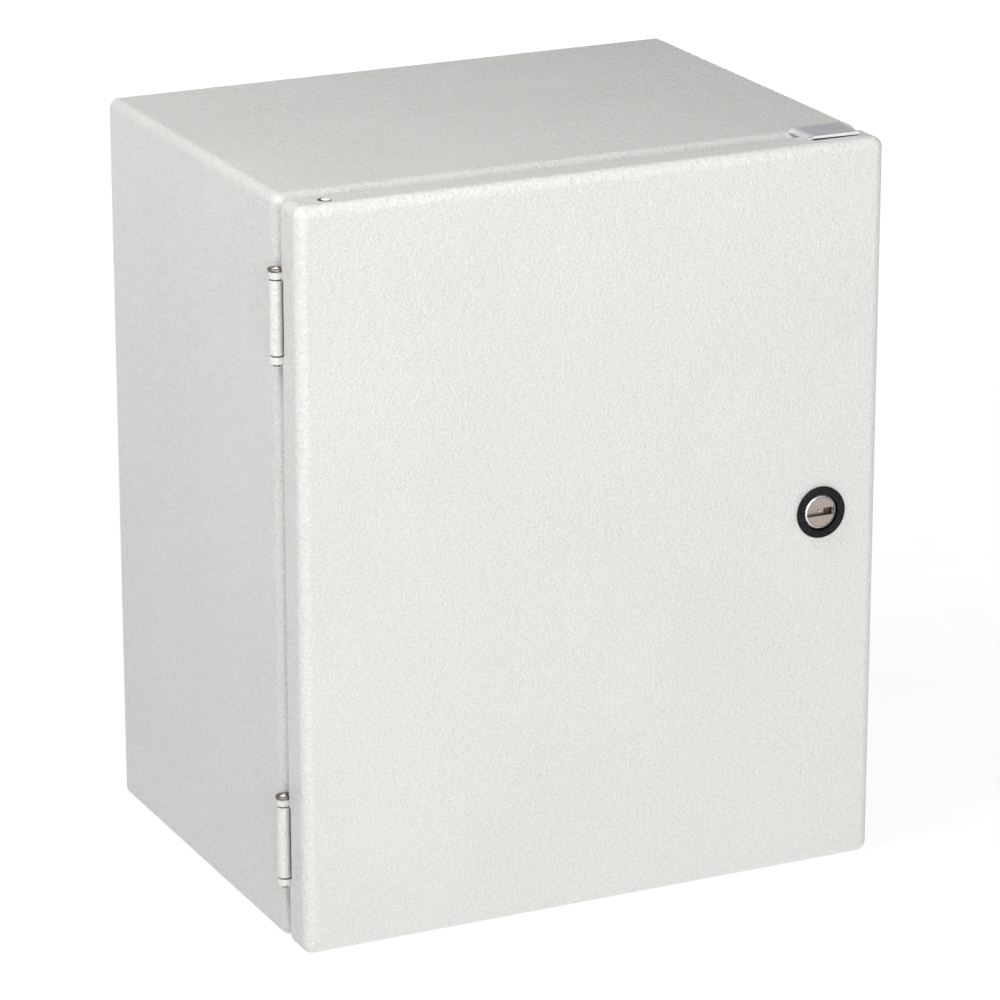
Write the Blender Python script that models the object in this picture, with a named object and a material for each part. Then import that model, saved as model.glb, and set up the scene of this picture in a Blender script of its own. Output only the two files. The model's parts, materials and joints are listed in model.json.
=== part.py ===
"""Wall-mounted sheet-steel disconnect box with a hinged door and a quarter-turn lock.

Metres, +Z up. The door faces -Y, the wall is at +Y, the hinges are on the -X side. The origin is the middle
of the underside of the whole object's box, so the box stands on z = 0.
Depths are counted from the door's front face towards the wall, and become y = FRONT + depth.
"""

import math

import bmesh
import bpy
from mathutils import Matrix

MM = 0.001
GAP = 0.3 * MM  # left between pieces that touch
OVERSHOOT = 2.0 * MM  # how far a cutter runs past the wall it cuts
SHARP_ANGLE = math.radians(32)

# Cabinet
WIDTH = 250 * MM
HEIGHT = 300 * MM
DEPTH = 190 * MM
SHEET = 1.5 * MM
LONG_EDGE_BEND = 4.0 * MM
FRONT_EDGE_BEND = 8.5 * MM
BACK_EDGE_BEND = 1.5 * MM
TIGHT_CORNER = 0.6 * MM
CORNER_STEPS = 5
BEND_STEPS = 5

# Door pan and the gap behind it
DOOR_INSET = 0.0 * MM  # the door is flush with the cabinet's sides
DOOR_DEPTH = 15 * MM
DOOR_BEND = 4.5 * MM
BODY_FRONT = 17.5 * MM  # depth of the body's front return
LIP_INSET = 11 * MM
LIP_TIP = 8 * MM  # depth of the sealing lip's free edge
HANG_HOLE_R = 2.8 * MM
HANG_HOLE_FROM_LEFT = 15.0 * MM
HANG_HOLE_DEPTH = 8.4 * MM
GASKET_OUTER_INSET = 8.2 * MM
GASKET_INNER_INSET = 14.8 * MM
GASKET_CROWN = 1.0 * MM
GASKET_CORNER = 3.0 * MM

# Hinges
HINGE_OUT = 1.0 * MM  # axis outside the cabinet's side
HINGE_DEPTH = 18.2 * MM
HINGE_HEIGHT = 36 * MM
HINGE_CENTRES = {"lower": 42.3 * MM, "upper": 254.0 * MM}
BARREL_R = 2.9 * MM
END_KNUCKLE = 2.8 * MM
KNUCKLE_GAP = 0.4 * MM
PIN_R = 1.5 * MM
PIN_RUNNING_GAP = 0.08 * MM
PIN_HEAD_R = 3.1 * MM
PIN_HEAD_HEIGHT = 0.9 * MM
PIN_TAIL = 0.5 * MM
LEAF_SHEET = 1.5 * MM
BODY_LEAF_REACH = 36 * MM
DOOR_LEAF_START = 5.0 * MM
NOTCH_WIDTH = 3.7 * MM
NOTCH_DEPTH = 21.7 * MM
NOTCH_RELIEF = 3.9 * MM  # how much deeper the notch is behind the middle knuckle
NOTCH_CLEARANCE = 1.0 * MM
BODY_ARM_OUTSIDE = ((0.9 * MM, 21.35 * MM), (1.85 * MM, 22.6 * MM))  # (inside the side, depth)
BODY_ARM_INSIDE = ((3.3 * MM, 21.6 * MM), (2.5 * MM, 20.8 * MM), (2.5 * MM, 19.4 * MM))
DOOR_ARM_CLEARANCE = 0.35 * MM  # behind the door's rim
DOOR_LEAF_END = 15.6 * MM
KNUCKLE_WINDOW = (9.2 * MM, 7.5 * MM)  # across and in depth, cleared round the middle knuckle
KNUCKLE_WINDOW_OUT = 4.0 * MM

# Quarter-turn lock
LOCK_FROM_RIGHT = 26 * MM
LOCK_Z = 150 * MM
BEZEL_PROUD = 1.4 * MM
BEZEL_R = 10.6 * MM
HOUSING_R = 8.4 * MM
HOUSING_END = 17.0 * MM
POCKET_R = 7.55 * MM
POCKET_DEPTH = 3.0 * MM
BEZEL_EDGE = 0.4 * MM
HOUSING_BORE_R = 5.2 * MM
LOCK_NUT_FLATS = 20 * MM
LOCK_NUT_HEIGHT = 4.0 * MM
LOCK_SEAL_R = 10.0 * MM
LOCK_SEAL_HEIGHT = 1.2 * MM
BARREL_HEAD_R = 7.3 * MM
BARREL_FACE = 0.5 * MM  # in front of the door's face
BARREL_CHAMFER = 0.5 * MM
BARREL_SHAFT_R = 4.9 * MM
SLOT_LENGTH = 12.4 * MM
SLOT_WIDTH = 3.1 * MM
SLOT_DEPTH = 1.8 * MM
SLOT_CORNER = 0.3 * MM
CAM_FRONT = 19.6 * MM
CAM_SHEET = 2.5 * MM
CAM_HUB_R = 8.0 * MM
CAM_TIP_R = 5.0 * MM
CAM_REACH = 19.5 * MM
CAM_SQUARE = 7.0 * MM
CAM_SCREW_R = 2.0 * MM
CAM_SCREW_HEAD_R = 4.4 * MM
CAM_SCREW_HEAD = 2.6 * MM
CAM_SCREW_LENGTH = 5.0 * MM
CAM_SCREW_HOLE = 6.0 * MM
LOCK_STEPS = 32

# Clear clip over the top edge
CLIP_DEPTHS = (7.3 * MM, 23.0 * MM)
CLIP_FROM_RIGHT = (28.5 * MM, 6.8 * MM)
CLIP_RAMP = 2.6 * MM
CLIP_THICK = 1.3 * MM
CLIP_TOE = 0.4 * MM  # thickness at the end of the ramp
CLIP_EDGE = 0.5 * MM
CLIP_LEG_DEPTH = 15.8 * MM
CLIP_LEG_THICK = 1.1 * MM
CLIP_LEG_DROP = 5.0 * MM
CLIP_LEG_INSET = 2.0 * MM

# Fixing holes and mounting plate
WALL_HOLE_X = 108 * MM
WALL_HOLE_Z = 17 * MM  # from the base and from the top
WALL_HOLE_R = 4.2 * MM
WALL_PLUG_HEAD_R = 7.0 * MM
WALL_PLUG_HEAD = 2.0 * MM
PLATE_SIZE = (200 * MM, 250 * MM)
PLATE_SHEET = 2.0 * MM
PLATE_CHAMFER = 14 * MM
PLATE_FRONT = 174.5 * MM
STUD_X = 85 * MM
STUD_Z = 105 * MM  # from the plate's middle
STUD_R = 3.0 * MM
STUD_COLLAR_R = 5.0 * MM
STUD_FRONT = 166 * MM
PLATE_NUT_FLATS = 10 * MM
PLATE_NUT_HEIGHT = 4.5 * MM

# Cable entry in the base
GLAND_DEPTH = 108 * MM  # depth of the opening's middle
GLAND_OPENING = (160 * MM, 78 * MM)
GLAND_OPENING_CORNER = 5.0 * MM
GLAND_PLATE_CORNER = 4.0 * MM
GLAND_GASKET_INSET = 1.0 * MM  # the gasket's window is wider than the opening
GLAND_PLATE_SIZE = (184 * MM, 102 * MM)
GLAND_STUD = (86 * MM, 45 * MM)
GLAND_STUD_R = 2.4 * MM
GLAND_STUD_TOP = 12 * MM
GLAND_GASKET = 1.5 * MM
GLAND_NUT_FLATS = 8 * MM
GLAND_NUT_HEIGHT = 4.0 * MM
BLANK_X = 38 * MM
BLANK_R = 12.4 * MM
BLANK_HEAD_R = 15.5 * MM
BLANK_HEAD = 2.7 * MM
BLANK_TOP = 13 * MM
LOCKNUT_FLATS = 31 * MM
LOCKNUT_HEIGHT = 4.0 * MM

# DIN rail and the switch on it
RAIL_Z = 165 * MM
RAIL_HALF = 17.5 * MM
RAIL_CHANNEL = 13.5 * MM  # half the height of the rail's channel
RAIL_FRONT = 7.5 * MM  # in front of the rail's back
RAIL_SHEET = 1.0 * MM
RAIL_LENGTH = 180 * MM
RAIL_SLOT = (15 * MM, 5.2 * MM)
RAIL_SLOTS = 5
RAIL_SLOT_PITCH = 36 * MM
RAIL_SCREW_X = 72 * MM
SCREW_R = 2.0 * MM
SCREW_HEAD_R = 4.0 * MM
SCREW_HEAD = 2.4 * MM
RAIL_SCREW_LENGTH = 8.0 * MM
SWITCH_WIDTH = 66 * MM
SWITCH_HEIGHT = 78 * MM
SWITCH_BACK = 2.5 * MM  # this and the next three in front of the rail's back
SWITCH_JOINT = 30 * MM
SWITCH_SHOULDER = 44 * MM
SWITCH_FACE = 52 * MM
COVER_STEP = (24 * MM, 21 * MM)  # half heights of the raised middle, at its foot and its face
COVER_EDGE = 2.0 * MM
HOOK_TIP = 14.2 * MM  # height above the rail's middle
HOOK_HEEL = 15.5 * MM
HOOK_BACK = 3.6 * MM
BELOW_RAIL = 18.0 * MM
POLE_PITCH = 21 * MM
WELL_SIZE = (13 * MM, 17 * MM)
WELL_BOTTOM = 14 * MM
TERMINAL_SIZE = (10 * MM, 12 * MM, 10 * MM)
TERMINAL_HOLE_R = 3.0 * MM
WIRE_HOLE_BACK = 1.0 * MM  # behind the middle of its terminal
TONGUE_REACH = 13.0 * MM
TONGUE_SIZE = (6 * MM, 2 * MM)
TONGUE_FRONT = 23.0 * MM
TONGUE_OVERLAP = 1.0 * MM
TONGUE_CHANNEL = (8 * MM, 4 * MM)  # width, and depth behind the tongue's front
TERMINAL_SCREW_R = 1.7 * MM
TERMINAL_SCREW_HEAD_R = 3.0 * MM
TERMINAL_SCREW_HEAD = 2.0 * MM
TERMINAL_SCREW_LENGTH = 3.0 * MM
ACCESS_R = 3.6 * MM
ROTOR_R = 12.0 * MM
ROTOR_CAVITY_R = 12.6 * MM
ROTOR_DEPTHS = (15 * MM, 29 * MM)
ROTOR_SHAFT_R = 4.0 * MM
ROTOR_SQUARE = 5.4 * MM
KNOB_R = 18 * MM
KNOB_DISC = 5.0 * MM
KNOB_GRIP = (9 * MM, 33 * MM, 15 * MM)
KNOB_GRIP_CORNER = 3.0 * MM
KNOB_EDGE = 1.0 * MM
KNOB_SOCKET = 7.0 * MM
LATCH_WIDTH = 14 * MM
LATCH_END = 45 * MM  # this and the next three below the rail's middle
LATCH_SHOULDER = 18.2 * MM
LATCH_HEEL = 15.6 * MM
LATCH_TIP = 14.3 * MM
LATCH_SLOT = (8 * MM, 2.5 * MM)
LATCH_SLOT_EDGE = 1.5 * MM

# Earth bar
EARTH_Z = 72 * MM
EARTH_X = -45 * MM
EARTH_SIZE = (72 * MM, 9 * MM, 9 * MM)
EARTH_HOLES = 5
EARTH_HOLE_PITCH = 10 * MM
EARTH_HOLE_R = 2.1 * MM
EARTH_SCREW_X = 30 * MM
EARTH_BAR_EDGE = 1.0 * MM
EARTH_SCREW_PAST = 6.0 * MM  # how far its screws run past the bar

# Where the cabinet's faces lie, with the whole object's box centred on the origin
HINGE_REACH = HINGE_OUT + PIN_HEAD_R
LEFT = HINGE_REACH - (WIDTH + HINGE_REACH) / 2
RIGHT = LEFT + WIDTH
FRONT = BEZEL_PROUD - (DEPTH + BEZEL_PROUD) / 2
MIDDLE_X = (LEFT + RIGHT) / 2
RAIL_BACK = PLATE_FRONT - GAP

TO_FRONT = Matrix.Rotation(math.radians(90), 4, "X")  # local +Z becomes -Y, local +Y becomes +Z


# ---------------------------------------------------------------- tools


def clear_scene():
    for thing in list(bpy.data.objects):
        bpy.data.objects.remove(thing, do_unlink=True)


def finish_material(name, colour, roughness, metallic=0.0, alpha=1.0):
    made = bpy.data.materials.new(name)
    made.use_nodes = True
    shader = made.node_tree.nodes["Principled BSDF"]
    shader.inputs["Base Color"].default_value = (*colour, 1.0)
    shader.inputs["Roughness"].default_value = roughness
    shader.inputs["Metallic"].default_value = metallic
    shader.inputs["Alpha"].default_value = alpha
    return made


def circle(radius, steps, z=0.0):
    turns = [2 * math.pi * k / steps for k in range(steps)]
    return [(radius * math.cos(a), radius * math.sin(a), z) for a in turns]


def polygon_round(flats, sides, steps, z=0.0):
    """A regular polygon, flat side towards +X, with its points at equal angles, to pair with a circle's."""
    loop = []
    for k in range(steps):
        angle = 2 * math.pi * k / steps
        side = 2 * math.pi / sides
        from_flat = (angle + side / 2) % side - side / 2
        reach = flats / 2 / math.cos(from_flat)
        loop.append((reach * math.cos(angle), reach * math.sin(angle), z))
    return loop


def rectangle(x0, x1, y0, y1, z=0.0):
    return [(x0, y0, z), (x1, y0, z), (x1, y1, z), (x0, y1, z)]


def block(x0, x1, y0, y1, z0, z1):
    return [rectangle(x0, x1, y0, y1, z) for z in (z0, z1)]


def rounded_rectangle(half_x, half_y, radius, steps, z=0.0):
    loop = []
    for quarter, (sx, sy) in enumerate(((1, 1), (-1, 1), (-1, -1), (1, -1))):
        for k in range(steps + 1):
            angle = math.pi / 2 * (quarter + k / steps)
            x = sx * (half_x - radius) + radius * math.cos(angle)
            y = sy * (half_y - radius) + radius * math.sin(angle)
            loop.append((x, y, z))
    return loop


def bend(centre, radius, start, end, steps=BEND_STEPS):
    """Points of a sheet's bend as (inset, depth), from one angle to another in degrees."""
    points = []
    for k in range(steps + 1):
        angle = math.radians(start + (end - start) * k / steps)
        points.append((centre[0] + radius * math.cos(angle), centre[1] + radius * math.sin(angle)))
    return points


def add_skin(builder, loops, ring=False):
    """Joins loops of equal length in turn, and closes the ends, or in a ring the last to the first."""
    rows = [[builder.verts.new(point) for point in loop] for loop in loops]
    count = len(rows[0])
    pairs = list(zip(rows, rows[1:]))
    if ring:
        pairs.append((rows[-1], rows[0]))
    else:
        builder.faces.new(rows[0])
        builder.faces.new(rows[-1])
    for low, high in pairs:
        for k in range(count):
            following = (k + 1) % count
            builder.faces.new((low[k], low[following], high[following], high[k]))


def world_of(thing):
    """The world matrix, worked out from the parents without waiting for the scene to update."""
    if thing.parent is None:
        return thing.matrix_basis.copy()
    return world_of(thing.parent) @ thing.matrix_basis


def place_object(name, builder, finish=None, place=None, parent=None):
    """Turns the built mesh into a named object. place is its world matrix."""
    bmesh.ops.recalc_face_normals(builder, faces=builder.faces)
    mesh = bpy.data.meshes.new(name)
    builder.to_mesh(mesh)
    builder.free()
    mesh.shade_smooth()
    mesh.set_sharp_from_angle(angle=SHARP_ANGLE)
    made = bpy.data.objects.new(name, mesh)
    bpy.context.scene.collection.objects.link(made)
    if finish:
        mesh.materials.append(finish)
    world = place or Matrix.Identity(4)
    if parent:
        made.parent = parent
        made.matrix_basis = world_of(parent).inverted() @ world
    else:
        made.matrix_basis = world
    return made


def skin_object(name, loops, finish=None, place=None, parent=None, ring=False):
    builder = bmesh.new()
    add_skin(builder, loops, ring)
    return place_object(name, builder, finish, place, parent)


def prism(outline, low, high):
    return [[(x, y, low) for x, y in outline], [(x, y, high) for x, y in outline]]


def turned(profile, steps):
    """Loops for a turned piece from (radius, z) pairs."""
    return [circle(radius, steps, z) for radius, z in profile]


def helper(name, parts):
    """A hidden mesh of separate closed shapes, to cut or to join with. Each part is a list of loops."""
    builder = bmesh.new()
    for loops in parts:
        add_skin(builder, loops)
    made = place_object(name, builder)
    made.data.shade_flat()  # so that the rim of a cut stays a sharp edge
    made.hide_render = True
    made.display_type = "WIRE"
    return made


def combine(piece, tool, operation):
    step = piece.modifiers.new(tool.name, "BOOLEAN")
    step.object = tool
    step.operation = operation
    step.solver = "EXACT"
    if piece.parent:
        tool.parent = piece.parent
        tool.matrix_basis = world_of(piece.parent).inverted()


def moved(loops, matrix):
    return [[tuple(matrix @ Matrix.Translation(p).to_translation()) for p in loop] for loop in loops]


def facing_front(x, depth, z):
    """Places a piece at a depth with its local +Z towards the viewer of the door."""
    return Matrix.Translation((x, FRONT + depth, z)) @ TO_FRONT


def upright(x, depth, z):
    return Matrix.Translation((x, FRONT + depth, z))


def joint_empty(name, place, parent=None):
    made = bpy.data.objects.new(name, None)
    bpy.context.scene.collection.objects.link(made)
    made.empty_display_size = 10 * MM
    made.matrix_basis = place
    if parent:
        made.parent = parent
        made.matrix_basis = world_of(parent).inverted() @ place
    return made


def nut_loops(flats, hole, height, steps=12):
    """A six-sided nut with its front face chamfered, as a ring of loops standing on z = 0."""
    face = 0.96 * flats / 2
    edge = 0.15 * height
    return [
        circle(hole, steps, 0.0),
        polygon_round(flats, 6, steps, 0.0),
        polygon_round(flats, 6, steps, height - edge),
        circle(face, steps, height),
        circle(hole, steps, height),
    ]


def screw_loops(head_r, head, shaft_r, length, steps=12):
    """A pan-head screw, its head standing on z = 0 and its shaft running down."""
    return turned(
        [
            (shaft_r, -length),
            (shaft_r, 0.0),
            (head_r, 0.0),
            (head_r, head * 0.5),
            (head_r * 0.75, head),
        ],
        steps,
    )


def cabinet_loop(inset, depth, corner):
    """The cabinet's outline in front view, drawn in by inset, as one loop at a depth."""
    radius = max(corner - inset, TIGHT_CORNER)
    flat = rounded_rectangle(WIDTH / 2 - inset, HEIGHT / 2 - inset, radius, CORNER_STEPS)
    return [(MIDDLE_X + x, FRONT + depth, HEIGHT / 2 + z) for x, z, _ in flat]


# ---------------------------------------------------------------- cabinet


def body_profile():
    """(inset, depth) round the folded sheet: from the back's outside, over the front lip, to its inside."""
    outside_back = bend((BACK_EDGE_BEND, DEPTH - BACK_EDGE_BEND), BACK_EDGE_BEND, 90, 180, 2)
    front_centre = (FRONT_EDGE_BEND, BODY_FRONT + FRONT_EDGE_BEND)
    outside_front = bend(front_centre, FRONT_EDGE_BEND, 180, 270, 7)
    lip = [
        (LIP_INSET, BODY_FRONT),
        (LIP_INSET, LIP_TIP),
        (LIP_INSET + SHEET, LIP_TIP),
        (LIP_INSET + SHEET, BODY_FRONT + SHEET),
    ]
    inside_front = bend(front_centre, FRONT_EDGE_BEND - SHEET, 270, 180, 5)
    return outside_back + outside_front + lip + inside_front + [(SHEET, DEPTH - SHEET)]


def plate_stud_loops(x, z):
    """A welded stud with a collar that the mounting plate sits on."""
    root = DEPTH - SHEET / 2
    collar = PLATE_FRONT + PLATE_SHEET + GAP
    profile = [
        (STUD_COLLAR_R, -root),
        (STUD_COLLAR_R, -collar),
        (STUD_R, -collar),
        (STUD_R, -STUD_FRONT - STUD_R / 2),
        (STUD_R * 0.7, -STUD_FRONT),
    ]
    return moved(turned(profile, 12), facing_front(x, 0, z))


def gland_stud_loops(x, y):
    profile = [(GLAND_STUD_R, SHEET / 2), (GLAND_STUD_R, GLAND_STUD_TOP)]
    return moved(turned(profile, 12), upright(x, y, 0))


def notch_loops(centre):
    """Room in the body's corner for a hinge: shallow all the way, deeper behind the middle knuckle."""
    half = HINGE_HEIGHT / 2
    arm = half - END_KNUCKLE
    shallow, deep = FRONT + NOTCH_DEPTH, FRONT + NOTCH_DEPTH + NOTCH_RELIEF
    low_side, high_side = LEFT - OVERSHOOT, LEFT + NOTCH_WIDTH
    front = FRONT + BODY_FRONT - OVERSHOOT
    outline = [
        (front, centre - half - NOTCH_CLEARANCE),
        (shallow, centre - half - NOTCH_CLEARANCE),
        (shallow, centre - arm),
        (deep, centre - arm),
        (deep, centre + arm),
        (shallow, centre + arm),
        (shallow, centre + half + NOTCH_CLEARANCE),
        (front, centre + half + NOTCH_CLEARANCE),
    ]
    return [[(x, y, z) for y, z in outline] for x in (low_side, high_side)]


def wall_hole_places():
    heights = (WALL_HOLE_Z, HEIGHT - WALL_HOLE_Z)
    return [(MIDDLE_X + sx * WALL_HOLE_X, z) for sx in (-1, 1) for z in heights]


def plate_stud_places():
    return [(MIDDLE_X + sx * STUD_X, HEIGHT / 2 + sz * STUD_Z) for sx in (-1, 1) for sz in (-1, 1)]


def gland_stud_places():
    across, along = GLAND_STUD
    return [(MIDDLE_X + sx * across, GLAND_DEPTH + sy * along) for sx in (-1, 1) for sy in (-1, 1)]


def make_body(finish):
    loops = [cabinet_loop(inset, depth, LONG_EDGE_BEND) for inset, depth in body_profile()]
    body = skin_object("enclosure_body", loops, finish)
    studs = [plate_stud_loops(x, z) for x, z in plate_stud_places()]
    studs += [gland_stud_loops(x, depth) for x, depth in gland_stud_places()]
    combine(body, helper("body_studs", studs), "UNION")
    half_x, half_y = GLAND_OPENING[0] / 2, GLAND_OPENING[1] / 2
    ends = (-OVERSHOOT, SHEET + GAP)
    opening = [rounded_rectangle(half_x, half_y, GLAND_OPENING_CORNER, 3, z) for z in ends]
    cuts = [moved(opening, upright(MIDDLE_X, GLAND_DEPTH, 0))]
    for x, z in wall_hole_places():
        hole = [circle(WALL_HOLE_R, 16, end) for end in (-DEPTH - OVERSHOOT, -DEPTH + SHEET + OVERSHOOT)]
        cuts.append(moved(hole, facing_front(x, 0, z)))
    cuts += [notch_loops(centre) for centre in HINGE_CENTRES.values()]
    combine(body, helper("body_cuts", cuts), "DIFFERENCE")
    return body


def make_wall_plugs(finish):
    head_back = DEPTH - SHEET - GAP
    profile = [
        (WALL_PLUG_HEAD_R * 0.9, 0.0),
        (WALL_PLUG_HEAD_R, -WALL_PLUG_HEAD),
        (WALL_HOLE_R - GAP, -WALL_PLUG_HEAD),
        (WALL_HOLE_R - GAP, -WALL_PLUG_HEAD - SHEET),
    ]
    for number, (x, z) in enumerate(wall_hole_places(), 1):
        place = facing_front(x, head_back - WALL_PLUG_HEAD, z)
        skin_object(f"wall_plug_{number}", turned(profile, 12), finish, place)


# ---------------------------------------------------------------- door


def door_profile():
    centre = (DOOR_INSET + DOOR_BEND, DOOR_BEND)
    outside = bend(centre, DOOR_BEND, 270, 180)
    rim = [(DOOR_INSET, DOOR_DEPTH), (DOOR_INSET + SHEET, DOOR_DEPTH)]
    inside = bend(centre, DOOR_BEND - SHEET, 180, 270, 3)
    return outside + rim + inside


def make_door(finish, hinge):
    corner = DOOR_INSET + DOOR_BEND
    loops = [cabinet_loop(inset, depth, corner) for inset, depth in door_profile()]
    door = skin_object("door_panel", loops, finish, parent=hinge)
    lock_hole = [circle(HOUSING_R + GAP, LOCK_STEPS, end) for end in (-SHEET - OVERSHOOT, OVERSHOOT)]
    hang_hole = [circle(HANG_HOLE_R, 24, end) for end in (HEIGHT - SHEET - OVERSHOOT, HEIGHT + OVERSHOOT)]
    cuts = [
        moved(lock_hole, facing_front(RIGHT - LOCK_FROM_RIGHT, 0, LOCK_Z)),
        moved(hang_hole, upright(LEFT + HANG_HOLE_FROM_LEFT, HANG_HOLE_DEPTH, 0)),
    ]
    combine(door, helper("door_cuts", cuts), "DIFFERENCE")


def make_door_gasket(finish, hinge):
    back, crest = SHEET + GAP, LIP_TIP - GAP
    section = [
        (GASKET_OUTER_INSET, back),
        (GASKET_OUTER_INSET, crest - GASKET_CROWN),
        (GASKET_OUTER_INSET + GASKET_CROWN, crest),
        (GASKET_INNER_INSET - GASKET_CROWN, crest),
        (GASKET_INNER_INSET, crest - GASKET_CROWN),
        (GASKET_INNER_INSET, back),
    ]
    loops = []
    for inset, depth in section:
        radius = GASKET_INNER_INSET + GASKET_CORNER - inset
        flat = rounded_rectangle(WIDTH / 2 - inset, HEIGHT / 2 - inset, radius, 4)
        loops.append([(MIDDLE_X + x, FRONT + depth, HEIGHT / 2 + z) for x, z, _ in flat])
    skin_object("door_gasket", loops, finish, parent=hinge, ring=True)


# ---------------------------------------------------------------- hinges


def axis_point(x, depth):
    """A point in plan as seen from the hinge's axis, given how far inside the cabinet's side it is."""
    return (x + HINGE_OUT, depth - HINGE_DEPTH)


def barrel_arc(start, end, steps):
    turns = [math.radians(start + (end - start) * k / steps) for k in range(steps + 1)]
    return [(BARREL_R * math.cos(a), BARREL_R * math.sin(a)) for a in turns]


def body_leaf_outline():
    """Middle knuckle, the arm through the notch and the leaf along the cabinet's inside."""
    leaf_end = [(BODY_ARM_OUTSIDE[-1][0], BODY_LEAF_REACH), (BODY_ARM_INSIDE[0][0], BODY_LEAF_REACH)]
    arm = [*BODY_ARM_OUTSIDE, *leaf_end, *BODY_ARM_INSIDE]
    return barrel_arc(-12, -285, 14) + [axis_point(inside, depth) for inside, depth in arm]


def door_leaf_outline():
    """End knuckles, their arms behind the door's rim and the leaf along the flange's inside."""
    inner = DOOR_INSET + SHEET + GAP
    clear = DOOR_DEPTH + DOOR_ARM_CLEARANCE
    arm = [
        axis_point(inner, clear),
        axis_point(inner, DOOR_LEAF_START),
        axis_point(inner + LEAF_SHEET, DOOR_LEAF_START),
        axis_point(inner + LEAF_SHEET, DOOR_LEAF_END),
    ]
    return barrel_arc(15, 262, 14) + arm


def bore_loops(radius, length):
    return [circle(radius, 16, -length / 2 - OVERSHOOT), circle(radius, 16, length / 2 + OVERSHOOT)]


def make_hinge(name, centre, paint, steel, swing):
    place = upright(LEFT - HINGE_OUT, HINGE_DEPTH, centre)
    half = HINGE_HEIGHT / 2
    middle = half - END_KNUCKLE
    bore = moved(bore_loops(PIN_R + PIN_RUNNING_GAP, HINGE_HEIGHT), place)

    fixed = skin_object(
        f"{name}_hinge_body_leaf",
        prism(body_leaf_outline(), -middle + KNUCKLE_GAP, middle - KNUCKLE_GAP),
        paint,
        place,
    )
    combine(fixed, helper(f"{name}_body_bore", [bore]), "DIFFERENCE")

    swinging = skin_object(
        f"{name}_hinge_door_leaf", prism(door_leaf_outline(), -half, half), paint, place, swing
    )
    across, deep = KNUCKLE_WINDOW
    near = DOOR_DEPTH - HINGE_DEPTH - GAP
    opened = block(-KNUCKLE_WINDOW_OUT, across - KNUCKLE_WINDOW_OUT, near, near + deep, -middle, middle)
    combine(swinging, helper(f"{name}_knuckle_window", [moved(opened, place)]), "DIFFERENCE")
    combine(swinging, helper(f"{name}_door_bore", [bore]), "DIFFERENCE")

    head = half + GAP
    profile = [
        (PIN_R, -half - PIN_TAIL),
        (PIN_R, head),
        (PIN_HEAD_R, head),
        (PIN_HEAD_R, head + PIN_HEAD_HEIGHT * 0.6),
        (PIN_HEAD_R * 0.85, head + PIN_HEAD_HEIGHT),
        (PIN_R * 0.8, head + PIN_HEAD_HEIGHT),
        (PIN_R * 0.4, head + PIN_HEAD_HEIGHT * 0.4),
    ]
    skin_object(f"{name}_hinge_pin", turned(profile, 20), steel, place)


# ---------------------------------------------------------------- lock


def lock_place(depth=0.0):
    return facing_front(RIGHT - LOCK_FROM_RIGHT, depth, LOCK_Z)


def make_lock_fixed(black, steel, rubber, hinge):
    round_middle = 0.3 * BEZEL_EDGE
    profile = [
        (POCKET_R + BEZEL_EDGE, BEZEL_PROUD),
        (BEZEL_R - BEZEL_EDGE, BEZEL_PROUD),
        (BEZEL_R - round_middle, BEZEL_PROUD - round_middle),
        (BEZEL_R, BEZEL_PROUD - BEZEL_EDGE),
        (BEZEL_R, GAP),
        (HOUSING_R, GAP),
        (HOUSING_R, -HOUSING_END),
        (HOUSING_BORE_R, -HOUSING_END),
        (HOUSING_BORE_R, -POCKET_DEPTH),
        (POCKET_R, -POCKET_DEPTH),
        (POCKET_R, BEZEL_PROUD - BEZEL_EDGE),
    ]
    skin_object("lock_housing", turned(profile, LOCK_STEPS), black, lock_place(), hinge, ring=True)

    seal_back = SHEET + GAP
    seal = turned(
        [
            (HOUSING_R + GAP, 0.0),
            (LOCK_SEAL_R, 0.0),
            (LOCK_SEAL_R, -LOCK_SEAL_HEIGHT),
            (HOUSING_R + GAP, -LOCK_SEAL_HEIGHT),
        ],
        24,
    )
    skin_object("lock_seal", seal, rubber, lock_place(seal_back), hinge, ring=True)

    nut_back = seal_back + LOCK_SEAL_HEIGHT + GAP + LOCK_NUT_HEIGHT
    nut = nut_loops(LOCK_NUT_FLATS, HOUSING_R + GAP, LOCK_NUT_HEIGHT, 24)
    skin_object("lock_nut", nut, steel, lock_place(nut_back), hinge, ring=True)


def make_lock_barrel(metal, turn):
    screw_hole = CAM_SCREW_R + GAP
    square_end = CAM_FRONT + CAM_SHEET
    head_back = POCKET_DEPTH - GAP
    steps = LOCK_STEPS
    loops = [
        circle(screw_hole, steps, -square_end + CAM_SCREW_HOLE),
        circle(screw_hole, steps, -square_end),
        polygon_round(CAM_SQUARE, 4, steps, -square_end),
        polygon_round(CAM_SQUARE, 4, steps, -CAM_FRONT + GAP),
        circle(BARREL_SHAFT_R, steps, -CAM_FRONT + GAP),
        circle(BARREL_SHAFT_R, steps, -head_back),
        circle(BARREL_HEAD_R, steps, -head_back),
        circle(BARREL_HEAD_R, steps, BARREL_FACE - BARREL_CHAMFER),
        circle(BARREL_HEAD_R - BARREL_CHAMFER, steps, BARREL_FACE),
    ]
    barrel = skin_object("lock_barrel", loops, metal, lock_place(), turn)
    floor, mouth = BARREL_FACE - SLOT_DEPTH, BARREL_FACE + OVERSHOOT
    slot = rounded_rectangle(SLOT_LENGTH / 2, SLOT_WIDTH / 2, SLOT_CORNER, 2)
    slot_loops = prism([(x, y) for x, y, _ in slot], floor, mouth)
    combine(barrel, helper("barrel_slot", [moved(slot_loops, lock_place())]), "DIFFERENCE")


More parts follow.
